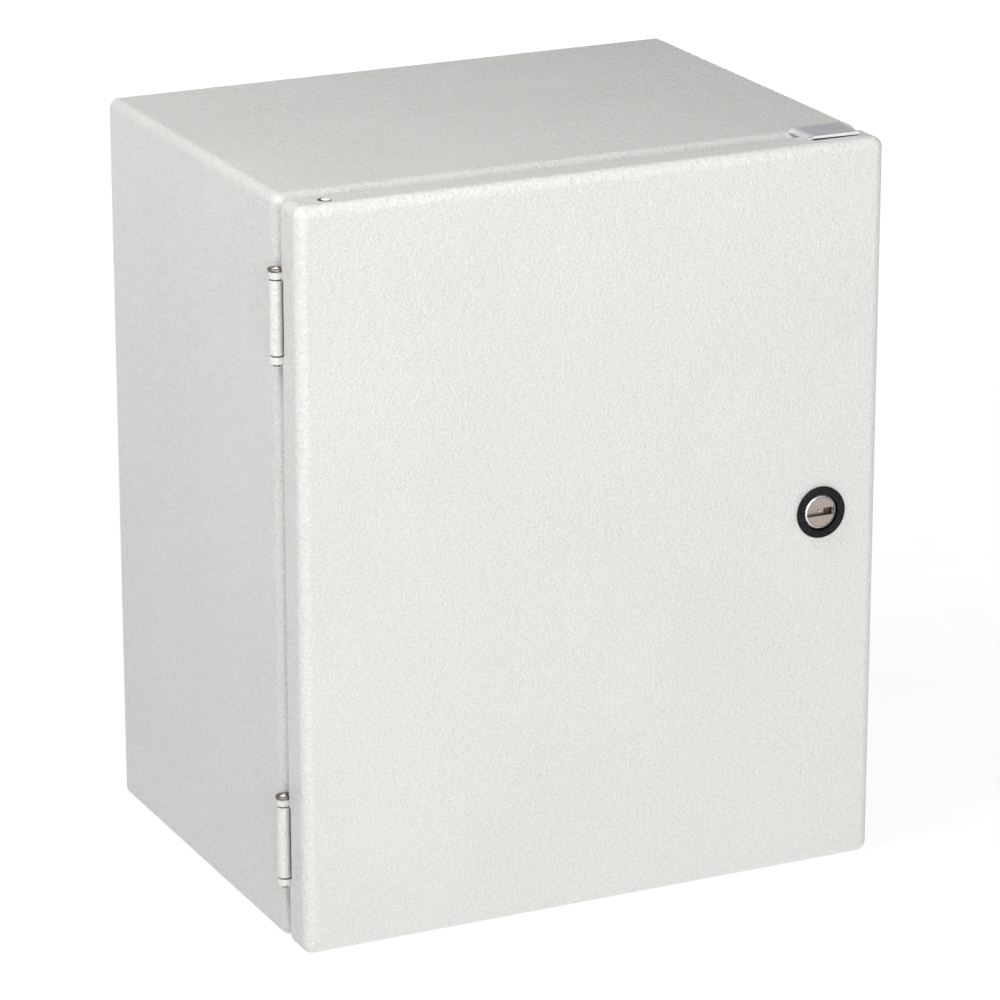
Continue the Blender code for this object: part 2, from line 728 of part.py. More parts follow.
def cam_outline():
    """A hub and a smaller round tip, joined by straight sides, pointing up."""
    centre = CAM_REACH - CAM_TIP_R
    lean = math.degrees(math.asin((CAM_HUB_R - CAM_TIP_R) / centre))
    outline = []
    for radius, middle, start, end, steps in (
        (CAM_TIP_R, centre, lean, 180 - lean, 8),
        (CAM_HUB_R, 0.0, 180 - lean, 360 + lean, 16),
    ):
        for k in range(steps + 1):
            angle = math.radians(start + (end - start) * k / steps)
            outline.append((radius * math.cos(angle), middle + radius * math.sin(angle)))
    return outline


def make_lock_cam(steel, turn):
    cam_back = CAM_FRONT + CAM_SHEET
    cam = skin_object("lock_cam", prism(cam_outline(), 0.0, CAM_SHEET), steel, lock_place(cam_back), turn)
    half = CAM_SQUARE / 2 + GAP
    square = [(x, y) for x, y, _ in rectangle(-half, half, -half, half)]
    hole = moved(prism(square, -OVERSHOOT, CAM_SHEET + OVERSHOOT), lock_place(cam_back))
    combine(cam, helper("cam_hole", [hole]), "DIFFERENCE")

    away = Matrix.Rotation(math.pi, 4, "X")  # the screw's head faces the wall
    loops = screw_loops(CAM_SCREW_HEAD_R, CAM_SCREW_HEAD, CAM_SCREW_R, CAM_SCREW_LENGTH)
    skin_object("cam_screw", loops, steel, lock_place(cam_back + GAP) @ away, turn)


# ---------------------------------------------------------------- clip


def make_clip(finish):
    """A clear strip that bridges the gap over the top edge, with a leg down behind the door's flange."""
    left, right = RIGHT - CLIP_FROM_RIGHT[0], RIGHT - CLIP_FROM_RIGHT[1]
    low, high = HEIGHT + GAP, HEIGHT + GAP + CLIP_THICK
    outline = [
        (left - CLIP_RAMP, low),
        (right, low),
        (right, high - CLIP_EDGE),
        (right - CLIP_EDGE, high),
        (left, high),
        (left - CLIP_RAMP, low + CLIP_TOE),
    ]
    loops = [[(x, FRONT + depth, z) for x, z in outline] for depth in CLIP_DEPTHS]
    clip = skin_object("clear_clip", loops, finish)
    leg_depths = (CLIP_LEG_DEPTH, CLIP_LEG_DEPTH + CLIP_LEG_THICK)
    leg_front, leg_back = [FRONT + depth for depth in leg_depths]
    leg_sides = (left + CLIP_LEG_INSET, right - CLIP_LEG_INSET)
    leg = block(*leg_sides, leg_front, leg_back, low - CLIP_LEG_DROP, low + CLIP_THICK / 2)
    combine(clip, helper("clip_leg", [leg]), "UNION")


# ---------------------------------------------------------------- cable entry


def make_gland(steel, rubber, plastic):
    middle = upright(MIDDLE_X, GLAND_DEPTH, 0)
    outer_x, outer_y = GLAND_PLATE_SIZE[0] / 2, GLAND_PLATE_SIZE[1] / 2
    inner_x, inner_y = [size / 2 + GLAND_GASKET_INSET for size in GLAND_OPENING]
    gasket_low = SHEET + GAP
    gasket_high = gasket_low + GLAND_GASKET
    plate_low = gasket_high + GAP
    plate_high = plate_low + SHEET
    stud_holes = []
    for x, depth in gland_stud_places():
        hole = [circle(GLAND_STUD_R + GAP, 12, z) for z in (-OVERSHOOT, plate_high + OVERSHOOT)]
        stud_holes.append(moved(hole, upright(x, depth, 0)))

    ring = [
        rounded_rectangle(outer_x, outer_y, GLAND_PLATE_CORNER, 3, gasket_low),
        rounded_rectangle(outer_x, outer_y, GLAND_PLATE_CORNER, 3, gasket_high),
        rounded_rectangle(inner_x, inner_y, GLAND_OPENING_CORNER, 3, gasket_high),
        rounded_rectangle(inner_x, inner_y, GLAND_OPENING_CORNER, 3, gasket_low),
    ]
    gasket = skin_object("gland_gasket", ring, rubber, middle, ring=True)
    combine(gasket, helper("gasket_holes", stud_holes), "DIFFERENCE")

    flat = [rounded_rectangle(outer_x, outer_y, GLAND_PLATE_CORNER, 3, z) for z in (plate_low, plate_high)]
    plate = skin_object("gland_plate", flat, steel, middle)
    entry_holes = []
    for side in (-1, 1):
        hole = [circle(BLANK_R + GAP, 24, z) for z in (-OVERSHOOT, plate_high + OVERSHOOT)]
        entry_holes.append(moved(hole, upright(MIDDLE_X + side * BLANK_X, GLAND_DEPTH, 0)))
    combine(plate, helper("plate_holes", stud_holes + entry_holes), "DIFFERENCE")

    nut = nut_loops(GLAND_NUT_FLATS, GLAND_STUD_R + GAP, GLAND_NUT_HEIGHT)
    for number, (x, depth) in enumerate(gland_stud_places(), 1):
        skin_object(f"gland_nut_{number}", nut, steel, upright(x, depth, plate_high + GAP), ring=True)

    head_top = plate_low - GAP
    blank = turned(
        [
            (BLANK_HEAD_R * 0.8, head_top - BLANK_HEAD),
            (BLANK_HEAD_R, head_top - BLANK_HEAD * 0.6),
            (BLANK_HEAD_R, head_top),
            (BLANK_R, head_top),
            (BLANK_R, BLANK_TOP),
        ],
        24,
    )
    locknut = nut_loops(LOCKNUT_FLATS, BLANK_R + GAP, LOCKNUT_HEIGHT, 24)
    for number, side in enumerate((-1, 1), 1):
        x = MIDDLE_X + side * BLANK_X
        skin_object(f"gland_blank_{number}", blank, plastic, upright(x, GLAND_DEPTH, 0))
        seat = upright(x, GLAND_DEPTH, plate_high + GAP)
        skin_object(f"gland_locknut_{number}", locknut, plastic, seat, ring=True)


# ---------------------------------------------------------------- mounting plate


def make_mounting_plate(steel):
    half_x, half_z = PLATE_SIZE[0] / 2, PLATE_SIZE[1] / 2
    cut = PLATE_CHAMFER
    corners = []
    for sx, sz in ((1, 1), (-1, 1), (-1, -1), (1, -1)):
        pair = [(sx * half_x, sz * (half_z - cut)), (sx * (half_x - cut), sz * half_z)]
        corners += pair if sx == sz else pair[::-1]
    place = facing_front(MIDDLE_X, PLATE_FRONT, HEIGHT / 2)
    plate = skin_object("mounting_plate", prism(corners, -PLATE_SHEET, 0.0), steel, place)
    holes = [(x, z, STUD_R + GAP) for x, z in plate_stud_places()]
    holes += [(MIDDLE_X + side * RAIL_SCREW_X, RAIL_Z, SCREW_R + GAP) for side in (-1, 1)]
    holes += [(EARTH_X + side * EARTH_SCREW_X, EARTH_Z, SCREW_R + GAP) for side in (-1, 1)]
    cuts = []
    for x, z, radius in holes:
        ends = (-PLATE_SHEET - OVERSHOOT, OVERSHOOT)
        cuts.append(moved([circle(radius, 12, end) for end in ends], facing_front(x, PLATE_FRONT, z)))
    combine(plate, helper("plate_cuts", cuts), "DIFFERENCE")

    nut = nut_loops(PLATE_NUT_FLATS, STUD_R + GAP, PLATE_NUT_HEIGHT)
    for number, (x, z) in enumerate(plate_stud_places(), 1):
        skin_object(f"mounting_nut_{number}", nut, steel, facing_front(x, PLATE_FRONT - GAP, z), ring=True)


def make_rail(steel):
    """A 35 mm top-hat rail: its flat back on the plate, its two lips in front of it."""
    lip_back, channel_inside = RAIL_FRONT - RAIL_SHEET, RAIL_CHANNEL - RAIL_SHEET
    half = [
        (0.0, RAIL_CHANNEL),
        (lip_back, RAIL_CHANNEL),
        (lip_back, RAIL_HALF),
        (RAIL_FRONT, RAIL_HALF),
        (RAIL_FRONT, channel_inside),
        (RAIL_SHEET, channel_inside),
    ]
    outline = half + [(d, -z) for d, z in half[::-1]]
    loops = []
    for x in (-RAIL_LENGTH / 2, RAIL_LENGTH / 2):
        loops.append([(MIDDLE_X + x, FRONT + RAIL_BACK - d, RAIL_Z + z) for d, z in outline])
    rail = skin_object("din_rail", loops, steel)
    cuts = []
    for k in range(RAIL_SLOTS):
        x = MIDDLE_X + (k - (RAIL_SLOTS - 1) / 2) * RAIL_SLOT_PITCH
        ends = (-OVERSHOOT, OVERSHOOT)
        half_x, half_z = RAIL_SLOT[0] / 2, RAIL_SLOT[1] / 2
        slot = [rounded_rectangle(half_x, half_z, half_z * 0.98, 3, end) for end in ends]
        cuts.append(moved(slot, facing_front(x, RAIL_BACK, RAIL_Z)))
    combine(rail, helper("rail_slots", cuts), "DIFFERENCE")

    screw = screw_loops(SCREW_HEAD_R, SCREW_HEAD, SCREW_R, RAIL_SCREW_LENGTH)
    for number, side in enumerate((-1, 1), 1):
        x = MIDDLE_X + side * RAIL_SCREW_X
        seat = facing_front(x, RAIL_BACK - RAIL_SHEET - GAP, RAIL_Z)
        skin_object(f"din_rail_screw_{number}", screw, steel, seat)


def make_earth_bar(brass, steel):
    length, height, thick = EARTH_SIZE
    place = facing_front(EARTH_X, PLATE_FRONT - GAP, EARTH_Z)
    flat = [rounded_rectangle(length / 2, height / 2, EARTH_BAR_EDGE, 2, z) for z in (0.0, thick)]
    bar = skin_object("earth_bar", flat, brass, place)
    cuts = []
    for k in range(EARTH_HOLES):
        x = EARTH_X + (k - (EARTH_HOLES - 1) / 2) * EARTH_HOLE_PITCH
        ends = (-height / 2 - OVERSHOOT, height / 2 + OVERSHOOT)
        hole = [circle(EARTH_HOLE_R, 12, end) for end in ends]
        cuts.append(moved(hole, upright(x, PLATE_FRONT - GAP - thick / 2, EARTH_Z)))
    for side in (-1, 1):
        hole = [circle(SCREW_R + GAP, 12, end) for end in (-OVERSHOOT, thick + OVERSHOOT)]
        cuts.append(moved(hole, facing_front(EARTH_X + side * EARTH_SCREW_X, PLATE_FRONT - GAP, EARTH_Z)))
    combine(bar, helper("bar_holes", cuts), "DIFFERENCE")
    screw = screw_loops(SCREW_HEAD_R, SCREW_HEAD, SCREW_R, thick + EARTH_SCREW_PAST)
    for number, side in enumerate((-1, 1), 1):
        seat = facing_front(EARTH_X + side * EARTH_SCREW_X, PLATE_FRONT - 2 * GAP - thick, EARTH_Z)
        skin_object(f"earth_bar_screw_{number}", screw, steel, seat)


# ---------------------------------------------------------------- switch


def switch_place(distance=0.0):
    """The switch's middle, at a distance in front of the rail's back, with local +Z to the front."""
    return facing_front(MIDDLE_X, RAIL_BACK - distance, RAIL_Z)


def side_prism(outline, width):
    """Loops of a piece with one side profile of (distance, height) pairs, across the switch."""
    return [[(x, height, distance) for distance, height in outline] for x in (-width / 2, width / 2)]


def pole_places():
    """(name, x, side) of the six terminals: line at the top, load at the bottom."""
    for name, side in (("line", 1), ("load", -1)):
        for number in (1, 2, 3):
            yield f"{name}_{{}}_{number}", (number - 2) * POLE_PITCH, side


def make_switch_base(plastic):
    half_height = SWITCH_HEIGHT / 2
    seat = RAIL_FRONT + GAP
    behind_lip = RAIL_FRONT - RAIL_SHEET - GAP
    outline = [
        (SWITCH_BACK, -half_height),
        (SWITCH_BACK, -BELOW_RAIL),
        (seat, -BELOW_RAIL),
        (seat, RAIL_HALF + GAP),
        (behind_lip, RAIL_HALF + GAP),
        (behind_lip, HOOK_TIP),
        (HOOK_BACK, HOOK_TIP),
        (SWITCH_BACK, HOOK_HEEL),
        (SWITCH_BACK, half_height),
        (SWITCH_JOINT, half_height),
        (SWITCH_JOINT, -half_height),
    ]
    base = skin_object("switch_base", side_prism(outline, SWITCH_WIDTH), plastic, switch_place())
    mouth = SWITCH_JOINT + OVERSHOOT
    cuts = [turned([(ROTOR_CAVITY_R, ROTOR_DEPTHS[0] - GAP), (ROTOR_CAVITY_R, mouth)], 24)]
    channel = LATCH_WIDTH / 2 + GAP
    latch_room = (-half_height - OVERSHOOT, -RAIL_HALF, SWITCH_BACK - OVERSHOOT, seat)
    cuts.append(block(-channel, channel, *latch_room))
    for _, x, side in pole_places():
        near, far = half_height - WELL_SIZE[1], half_height + OVERSHOOT
        low, high = sorted((side * near, side * far))
        half = WELL_SIZE[0] / 2
        cuts.append(block(x - half, x + half, low, high, WELL_BOTTOM, mouth))
    placed = [moved(loops, switch_place()) for loops in cuts]
    combine(base, helper("base_cuts", placed), "DIFFERENCE")
    half, floor = TONGUE_CHANNEL[0] / 2, TONGUE_FRONT - TONGUE_CHANNEL[1]
    near, far = ROTOR_CAVITY_R - TONGUE_OVERLAP, half_height - WELL_SIZE[1] + TONGUE_OVERLAP
    channels = [block(-half, half, low, high, floor, mouth) for low, high in ((near, far), (-far, -near))]
    placed = [moved(loops, switch_place()) for loops in channels]
    combine(base, helper("tongue_channels", placed), "DIFFERENCE")


def make_switch_cover(plastic):
    half_height = SWITCH_HEIGHT / 2
    foot, face = COVER_STEP
    lower = [
        (SWITCH_JOINT + GAP, -half_height),
        (SWITCH_SHOULDER - COVER_EDGE, -half_height),
        (SWITCH_SHOULDER, COVER_EDGE - half_height),
        (SWITCH_SHOULDER, -foot),
        (SWITCH_FACE, -face),
    ]
    outline = lower + [(distance, -height) for distance, height in lower[::-1]]
    cover = skin_object("switch_cover", side_prism(outline, SWITCH_WIDTH), plastic, switch_place())
    shaft_hole_r = ROTOR_SHAFT_R + GAP
    cuts = [turned([(shaft_hole_r, SWITCH_JOINT), (shaft_hole_r, SWITCH_FACE + OVERSHOOT)], 16)]
    for _, x, side in pole_places():
        hole = turned([(ACCESS_R, SWITCH_JOINT), (ACCESS_R, SWITCH_SHOULDER + OVERSHOOT)], 12)
        cuts.append(moved(hole, Matrix.Translation((x, side * terminal_middle(), 0))))
    placed = [moved(loops, switch_place()) for loops in cuts]
    combine(cover, helper("cover_cuts", placed), "DIFFERENCE")


def terminal_middle():
    return SWITCH_HEIGHT / 2 - WELL_SIZE[1] / 2


def make_terminals(brass, steel):
    width, height, deep = TERMINAL_SIZE
    floor = WELL_BOTTOM + GAP
    middle = terminal_middle()
    for pattern, x, side in pole_places():
        low, high = sorted((side * (middle - height / 2), side * (middle + height / 2)))
        loops = block(x - width / 2, x + width / 2, low, high, floor, floor + deep)
        terminal = skin_object(pattern.format("terminal"), loops, brass, switch_place())
        wire = turned([(TERMINAL_HOLE_R, -height), (TERMINAL_HOLE_R, height)], 12)
        along = Matrix.Translation((x, side * middle, floor + deep / 2 - WIRE_HOLE_BACK)) @ TO_FRONT
        wire_hole = moved(wire, switch_place() @ along)
        combine(terminal, helper(pattern.format("wire_hole"), [wire_hole]), "DIFFERENCE")
        thread_r = TERMINAL_SCREW_R + GAP
        thread = turned([(thread_r, deep / 2), (thread_r, deep + OVERSHOOT)], 12)
        up = Matrix.Translation((x, side * middle, floor))
        thread_hole = moved(thread, switch_place() @ up)
        combine(terminal, helper(pattern.format("thread"), [thread_hole]), "DIFFERENCE")
        if not x:
            reach = sorted((side * TONGUE_REACH, side * (middle - height / 2 + TONGUE_OVERLAP)))
            half, thick = TONGUE_SIZE[0] / 2, TONGUE_SIZE[1]
            tongue = block(-half, half, *reach, TONGUE_FRONT - thick, TONGUE_FRONT)
            joined = helper(pattern.format("tongue"), [moved(tongue, switch_place())])
            combine(terminal, joined, "UNION")
        screw = screw_loops(
            TERMINAL_SCREW_HEAD_R, TERMINAL_SCREW_HEAD, TERMINAL_SCREW_R, TERMINAL_SCREW_LENGTH, 10
        )
        seat = switch_place(floor + deep + GAP) @ Matrix.Translation((x, side * middle, 0))
        skin_object(pattern.format("screw"), screw, steel, seat)


def make_rotor(plastic, knob_plastic, turn):
    low, high = ROTOR_DEPTHS
    steps = 24
    shaft_end = SWITCH_FACE + KNOB_SOCKET
    loops = [
        circle(ROTOR_R, steps, low),
        circle(ROTOR_R, steps, high),
        circle(ROTOR_SHAFT_R, steps, high),
        circle(ROTOR_SHAFT_R, steps, SWITCH_FACE + GAP),
        polygon_round(ROTOR_SQUARE, 4, steps, SWITCH_FACE + GAP),
        polygon_round(ROTOR_SQUARE, 4, steps, shaft_end),
    ]
    skin_object("switch_rotor", loops, plastic, switch_place(), turn)

    base = SWITCH_FACE + 2 * GAP
    top = base + KNOB_DISC
    disc = turned([(KNOB_R, base), (KNOB_R, top - KNOB_EDGE), (KNOB_R - KNOB_EDGE, top)], 24)
    knob = skin_object("switch_knob", disc, knob_plastic, switch_place(), turn)
    wide, long, tall = KNOB_GRIP
    corner = KNOB_GRIP_CORNER
    half_x, half_y = long / 2, wide / 2
    grip = [
        rounded_rectangle(half_x, half_y, corner, 3, base + KNOB_EDGE),
        rounded_rectangle(half_x, half_y, corner, 3, base + tall - KNOB_EDGE),
        rounded_rectangle(half_x - KNOB_EDGE, half_y - KNOB_EDGE, corner - KNOB_EDGE, 3, base + tall),
    ]
    combine(knob, helper("knob_grip", [moved(grip, switch_place())]), "UNION")
    half = ROTOR_SQUARE / 2 + GAP
    socket = block(-half, half, -half, half, SWITCH_FACE - OVERSHOOT, shaft_end + GAP)
    combine(knob, helper("knob_socket", [moved(socket, switch_place())]), "DIFFERENCE")


def make_latch(plastic, slide):
    back = SWITCH_BACK + GAP
    behind_lip = RAIL_FRONT - RAIL_SHEET - GAP
    outline = [
        (back, -LATCH_END),
        (RAIL_FRONT, -LATCH_END),
        (RAIL_FRONT, -LATCH_SHOULDER),
        (behind_lip, -LATCH_SHOULDER),
        (behind_lip, -LATCH_TIP),
        (HOOK_BACK, -LATCH_TIP),
        (back, -LATCH_HEEL),
    ]
    latch = skin_object("din_latch", side_prism(outline, LATCH_WIDTH), plastic, switch_place(), slide)
    half = LATCH_SLOT[0] / 2
    low = LATCH_SLOT_EDGE - LATCH_END
    hole = block(-half, half, low, low + LATCH_SLOT[1], back - OVERSHOOT, RAIL_FRONT + OVERSHOOT)
    combine(latch, helper("latch_hole", [moved(hole, switch_place())]), "DIFFERENCE")


# ---------------------------------------------------------------- assembly


def build():
    clear_scene()
    paint = finish_material("textured_light_grey", (0.72, 0.72, 0.70), 0.55)
    zinc = finish_material("zinc_plate", (0.62, 0.62, 0.60), 0.35, 1.0)
    pin_steel = finish_material("pin_steel", (0.42, 0.40, 0.38), 0.4, 1.0)
    nickel = finish_material("satin_nickel", (0.60, 0.58, 0.55), 0.35, 1.0)
    black = finish_material("black_plastic", (0.02, 0.02, 0.022), 0.45)
    foam = finish_material("dark_foam", (0.05, 0.05, 0.05), 0.9)
    clear = finish_material("clear_plastic", (0.80, 0.80, 0.85), 0.15, 0.0, 0.4)
    grey = finish_material("grey_plastic", (0.35, 0.36, 0.37), 0.5)
    light = finish_material("light_plastic", (0.62, 0.63, 0.62), 0.5)
    red = finish_material("red_plastic", (0.55, 0.03, 0.02), 0.4)
    brass = finish_material("brass", (0.70, 0.55, 0.28), 0.35, 1.0)

    swing = joint_empty("door_axis", upright(LEFT - HINGE_OUT, HINGE_DEPTH, HEIGHT / 2))
    lock_turn = joint_empty("lock_axis", lock_place(), swing)
    knob_turn = joint_empty("knob_axis", switch_place(SWITCH_FACE))
    latch_slide = joint_empty("latch_axis", switch_place())

    make_body(paint)
    make_wall_plugs(black)
    make_door(paint, swing)
    make_door_gasket(foam, swing)
    for name, centre in HINGE_CENTRES.items():
        make_hinge(name, centre, paint, pin_steel, swing)
    make_lock_fixed(black, zinc, foam, swing)
    make_lock_barrel(nickel, lock_turn)
    make_lock_cam(zinc, lock_turn)
    make_clip(clear)
    make_gland(zinc, foam, light)
    make_mounting_plate(zinc)
    make_rail(zinc)
    make_earth_bar(brass, zinc)
    make_switch_base(grey)
    make_switch_cover(light)
    make_terminals(brass, zinc)
    make_rotor(black, red, knob_turn)
    make_latch(light, latch_slide)


build()
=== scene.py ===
import json
import math

import bmesh
import bpy
from mathutils import Euler, Matrix, Vector


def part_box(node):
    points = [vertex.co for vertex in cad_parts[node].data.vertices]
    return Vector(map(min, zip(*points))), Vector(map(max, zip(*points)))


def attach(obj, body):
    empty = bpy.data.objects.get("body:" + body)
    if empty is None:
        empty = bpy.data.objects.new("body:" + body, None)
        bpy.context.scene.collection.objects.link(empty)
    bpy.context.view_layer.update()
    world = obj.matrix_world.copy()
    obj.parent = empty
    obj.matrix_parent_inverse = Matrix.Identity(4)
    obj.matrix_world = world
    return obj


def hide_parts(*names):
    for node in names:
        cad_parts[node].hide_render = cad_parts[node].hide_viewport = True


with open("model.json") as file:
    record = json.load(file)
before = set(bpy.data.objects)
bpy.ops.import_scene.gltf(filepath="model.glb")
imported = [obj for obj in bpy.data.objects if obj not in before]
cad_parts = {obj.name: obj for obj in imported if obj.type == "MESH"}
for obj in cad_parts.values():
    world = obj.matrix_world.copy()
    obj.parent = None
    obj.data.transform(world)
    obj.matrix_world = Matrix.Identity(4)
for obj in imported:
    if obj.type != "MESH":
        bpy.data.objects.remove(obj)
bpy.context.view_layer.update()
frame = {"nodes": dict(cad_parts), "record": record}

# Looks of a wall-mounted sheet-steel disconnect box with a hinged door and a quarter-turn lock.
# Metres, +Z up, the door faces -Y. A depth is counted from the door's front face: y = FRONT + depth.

BODY_LOW, BODY_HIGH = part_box("enclosure_body")
DOOR_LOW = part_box("door_panel")[0]

MM = 0.001
SHEET = 1.5 * MM
PAINT_EDGE = 0.25 * MM  # how far paint rounds a cut edge
OVERSHOOT = 2 * MM  # how far a cutter runs past the wall it cuts
SHARP_ANGLE = math.radians(32)

LEFT, RIGHT = BODY_LOW.x, BODY_HIGH.x
FRONT, BACK = DOOR_LOW.y, BODY_HIGH.y
HEIGHT = BODY_HIGH.z
WIDTH, DEPTH = RIGHT - LEFT, BACK - FRONT
MIDDLE_X = (LEFT + RIGHT) / 2

# Cabinet, folded from one sheet
LONG_EDGE_BEND = 4.0 * MM
FRONT_EDGE_BEND = 8.5 * MM
BACK_EDGE_BEND = 1.5 * MM
TIGHT_CORNER = 0.6 * MM
BODY_FRONT = 17.5 * MM
LIP_INSET = 11 * MM
LIP_TIP = 8 * MM
CORNER_STEPS = 12
BEND_STEPS = 12
STUD_R = 3 * MM  # for the mounting plate
STUD_BOSS_R = 5 * MM
STUD_BOSS_FRONT = 177 * MM
STUD_TIP = 166 * MM
STUD_ROOT = 1 * MM  # how far inside the back face a stud's boss begins
STUD_LEAD = (0.6 * MM, 1 * MM)  # how much its tip narrows, over what length
GLAND_STUD_R = 2.4 * MM
GLAND_STUD_TOP = 12 * MM
GLAND_STUD_LEAD = 0.4 * MM
GLAND_OPENING = (80 * MM, 39 * MM, 5 * MM)  # half its width, half its depth, its corners
WALL_HOLE_R = 4.2 * MM

# Door pan
DOOR_DEPTH = 15 * MM
DOOR_BEND = 4.5 * MM
HANG_HOLE_R = 2.8 * MM
HANG_HOLE_FROM_LEFT = 15.0 * MM
HANG_HOLE_DEPTH = 8.4 * MM
HANG_PLUG_R = 2.1 * MM
# sets the white plug off the middle, so the dark bed shows as a painted shadow crescent on one side
HANG_PLUG_SHIFT = (0.8 * MM, 0.7 * MM, 0.0)
HANG_PLUG_DROP = 0.35 * MM
HANG_PLUG_CROWN = 0.5 * MM
# a dark bed in the hole, painted shade
HANG_SHADE_BED_DROP = 0.12 * MM
HANG_SHADE_BED_FOOT = 2.4 * MM
SEAL_OUTER_INSET = 8.2 * MM
SEAL_INNER_INSET = 14.8 * MM
SEAL_STANDOFF = 0.1 * MM
SEAL_CROWN = 2.4 * MM
SEAL_CORNER = 3 * MM
SEAL_STEPS = 12

# Hinges
HINGES = ("lower", "upper")
HINGE_OUT = 1.0 * MM
HINGE_DEPTH = 18.2 * MM
HINGE_HEIGHT = 36 * MM
BARREL_R = 2.9 * MM
END_KNUCKLE = 2.8 * MM
PIN_R = 1.5 * MM
PIN_BORE_R = PIN_R + 0.08 * MM
PIN_NOSE = 0.7  # share of its radius at the tip
PIN_LEAD = 0.3 * MM
PIN_HEAD_R = 3.1 * MM
PIN_HEAD_HEIGHT = 0.9 * MM
PIN_HEAD_EDGE = 0.4 * MM
PIN_TAIL = 1.2 * MM
DIMPLE_R = 1.55 * MM
DIMPLE_EDGE = 0.1 * MM
DIMPLE_DEPTH = 0.6 * MM
GAP = 0.3 * MM
BODY_ARC = (-12, -285)  # the part of the barrel's round, in degrees, that a leaf's knuckles keep
DOOR_ARC = (15, 262)
BODY_ARM = ((0.9, 21.35), (1.85, 22.6), (1.85, 36), (3.3, 36), (3.3, 21.6), (2.5, 20.8), (2.5, 19.4))
DOOR_ARM = ((1.8, 15.35), (1.8, 5.0), (3.3, 5.0), (3.3, 15.6))
WINDOW = (-4 * MM, 5.2 * MM)  # in x, cut from the door leaf for the middle knuckle
WINDOW_REACH = 10 * MM
NOTCH_WIDTH = 3.7 * MM
NOTCH_DEPTH = 21.7 * MM
NOTCH_RELIEF = 3.9 * MM
NOTCH_CLEARANCE = 1.0 * MM
RIM_RELIEF = 1.6 * MM  # how far the door's rim steps back beside the middle knuckle
SEAM = 0.6 * MM  # between painted knuckles

# Lock
BEZEL_PROUD = 1.4 * MM
BEZEL_R = 10.6 * MM
BEZEL_EDGE = 0.45 * MM
BEZEL_CREST = 1.2 * MM  # how far its highest ring is inside its edge
BEZEL_DISH = 0.1 * MM
HOUSING_R = 8.4 * MM
HOUSING_END = 17.0 * MM
POCKET_R = 7.55 * MM
POCKET_DEPTH = 3.0 * MM
POCKET_EDGE = 0.25 * MM
HOUSING_BORE_R = 5.2 * MM
BARREL_HEAD_R = 7.3 * MM
BARREL_FACE = 0.5 * MM
BARREL_CHAMFER = 1.3 * MM
SLOT = (12.4 * MM, 3.1 * MM, 1.8 * MM)
SLOT_CORNER = 0.3 * MM
WELL_START = 2.2 * MM  # the deeper end of the slot
WELL_WALL = 0.3 * MM
WELL_FLOOR = 0.4 * MM
# a dark metal lining in the well's end, painted shade
WELL_SHADE_LINING = 0.2 * MM
WELL_SLACK = 0.05 * MM
WELL_SHADE_LINING_TOP = -0.4 * MM
PIP_R = (0.45 * MM, 0.2 * MM)
PIP_TOP = (0.9 * MM, 0.7 * MM)
SHANK_R = 4.9 * MM
SHANK_END = 19.3 * MM
CAM_SQUARE = 7.0 * MM
SQUARE_END = 22.1 * MM
TAPPED_HOLE = (2.3 * MM, 6 * MM)  # radius and depth, for the cam's screw
LOCK_STEPS = 96

# Clip
CLIP_RAMP = 2.6 * MM
CLIP_EDGE = 0.4 * MM
CLIP_SHORT = 1.2 * MM
CLIP_RIM = 0.7 * MM  # width of its front edge, a lighter copy of the plastic as a painted highlight
# a dark pad in the gap under the clip's front edge, a painted shadow line
CLIP_SHADOW_PAD = 0.22 * MM
CLIP_LIFT = (0.5 * MM, 0.12 * MM)  # the height of the painted-shadow pad under the strip's front, at its left and right ends
CLIP_SHADOW_PAD_ENDS = (0.1 * MM, 0.3 * MM)
CLIP_SHADOW_PAD_FRONT = 0.08 * MM
CLIP_SHADOW_PAD_BACK = 1 * MM
CLIP_SHADOW_PAD_SLACK = 0.03 * MM
CLIP_TOE = 0.4 * MM  # height of the ramp's low end
CLIP_RAMP_STEPS = 8
CLIP_LEG_DEPTH = 15.8 * MM
CLIP_LEG = 1.1 * MM
CLIP_LEG_INSET = 2 * MM
CLIP_LEG_ROOT = 0.6 * MM

# Fasteners
PLATE_SCREW = (2.0 * MM, 2.4 * MM)  # radius of the shaft, height of the head
TERMINAL_SCREW = (1.7 * MM, 2.0 * MM)
CAM_SCREW = (2.0 * MM, 2.6 * MM)
NUT_FACE = 0.97  # share of half its flats at both faces
NUT_SLOPE = 0.3
NUT_LEAD = 0.4 * MM
THREAD_PITCH = 0.7 * MM
THREAD_DEPTH = 0.25 * MM
THREAD_START = 0.1 * MM
SCREW_NOSE = 0.7
HEAD_EDGE = 0.15 * MM
HEAD_SIDE = 0.35  # share of the head's height below its crown
CROSS_REACH = 0.55  # shares of the head's radius and height
CROSS_HALF = 0.12
CROSS_DEPTH = 0.55

# Switch
KNOB_R = 18 * MM
KNOB_DISC = 5 * MM
KNOB_EDGE = 1.5 * MM
KNOB_FOOT = 0.5 * MM
KNOB_STEPS = 96
SCALLOPS = 24
SCALLOP_R = 1.3 * MM
SCALLOP_OUT = 0.6 * MM
GRIP = (16.5 * MM, 4.5 * MM, 3 * MM)  # half its length, half its width, its corners
GRIP_EDGE = 1.2 * MM
GRIP_SINK = 0.7 * MM
GRIP_STEPS = 6
SOCKET = (3 * MM, 6.7 * MM)  # half its width and its depth, for the rotor's square
POINTER = (4 * MM, 0.8 * MM, 0.78 * MM)  # half its length, half its width, its corners
POINTER_REACH = 10 * MM
POINTER_SINK = 0.3 * MM
POINTER_PROUD = 0.1 * MM
MARK_SINK = 0.2 * MM
MARK_PROUD = 0.15 * MM
MARK_LINE = 0.5 * MM
OFF_RING_R = 1.8 * MM
ON_BAR_HALF = 1.0 * MM
MARK_REACH = (24.0 * MM, 19.7 * MM)  # from the knob's axis to the off mark and the on mark

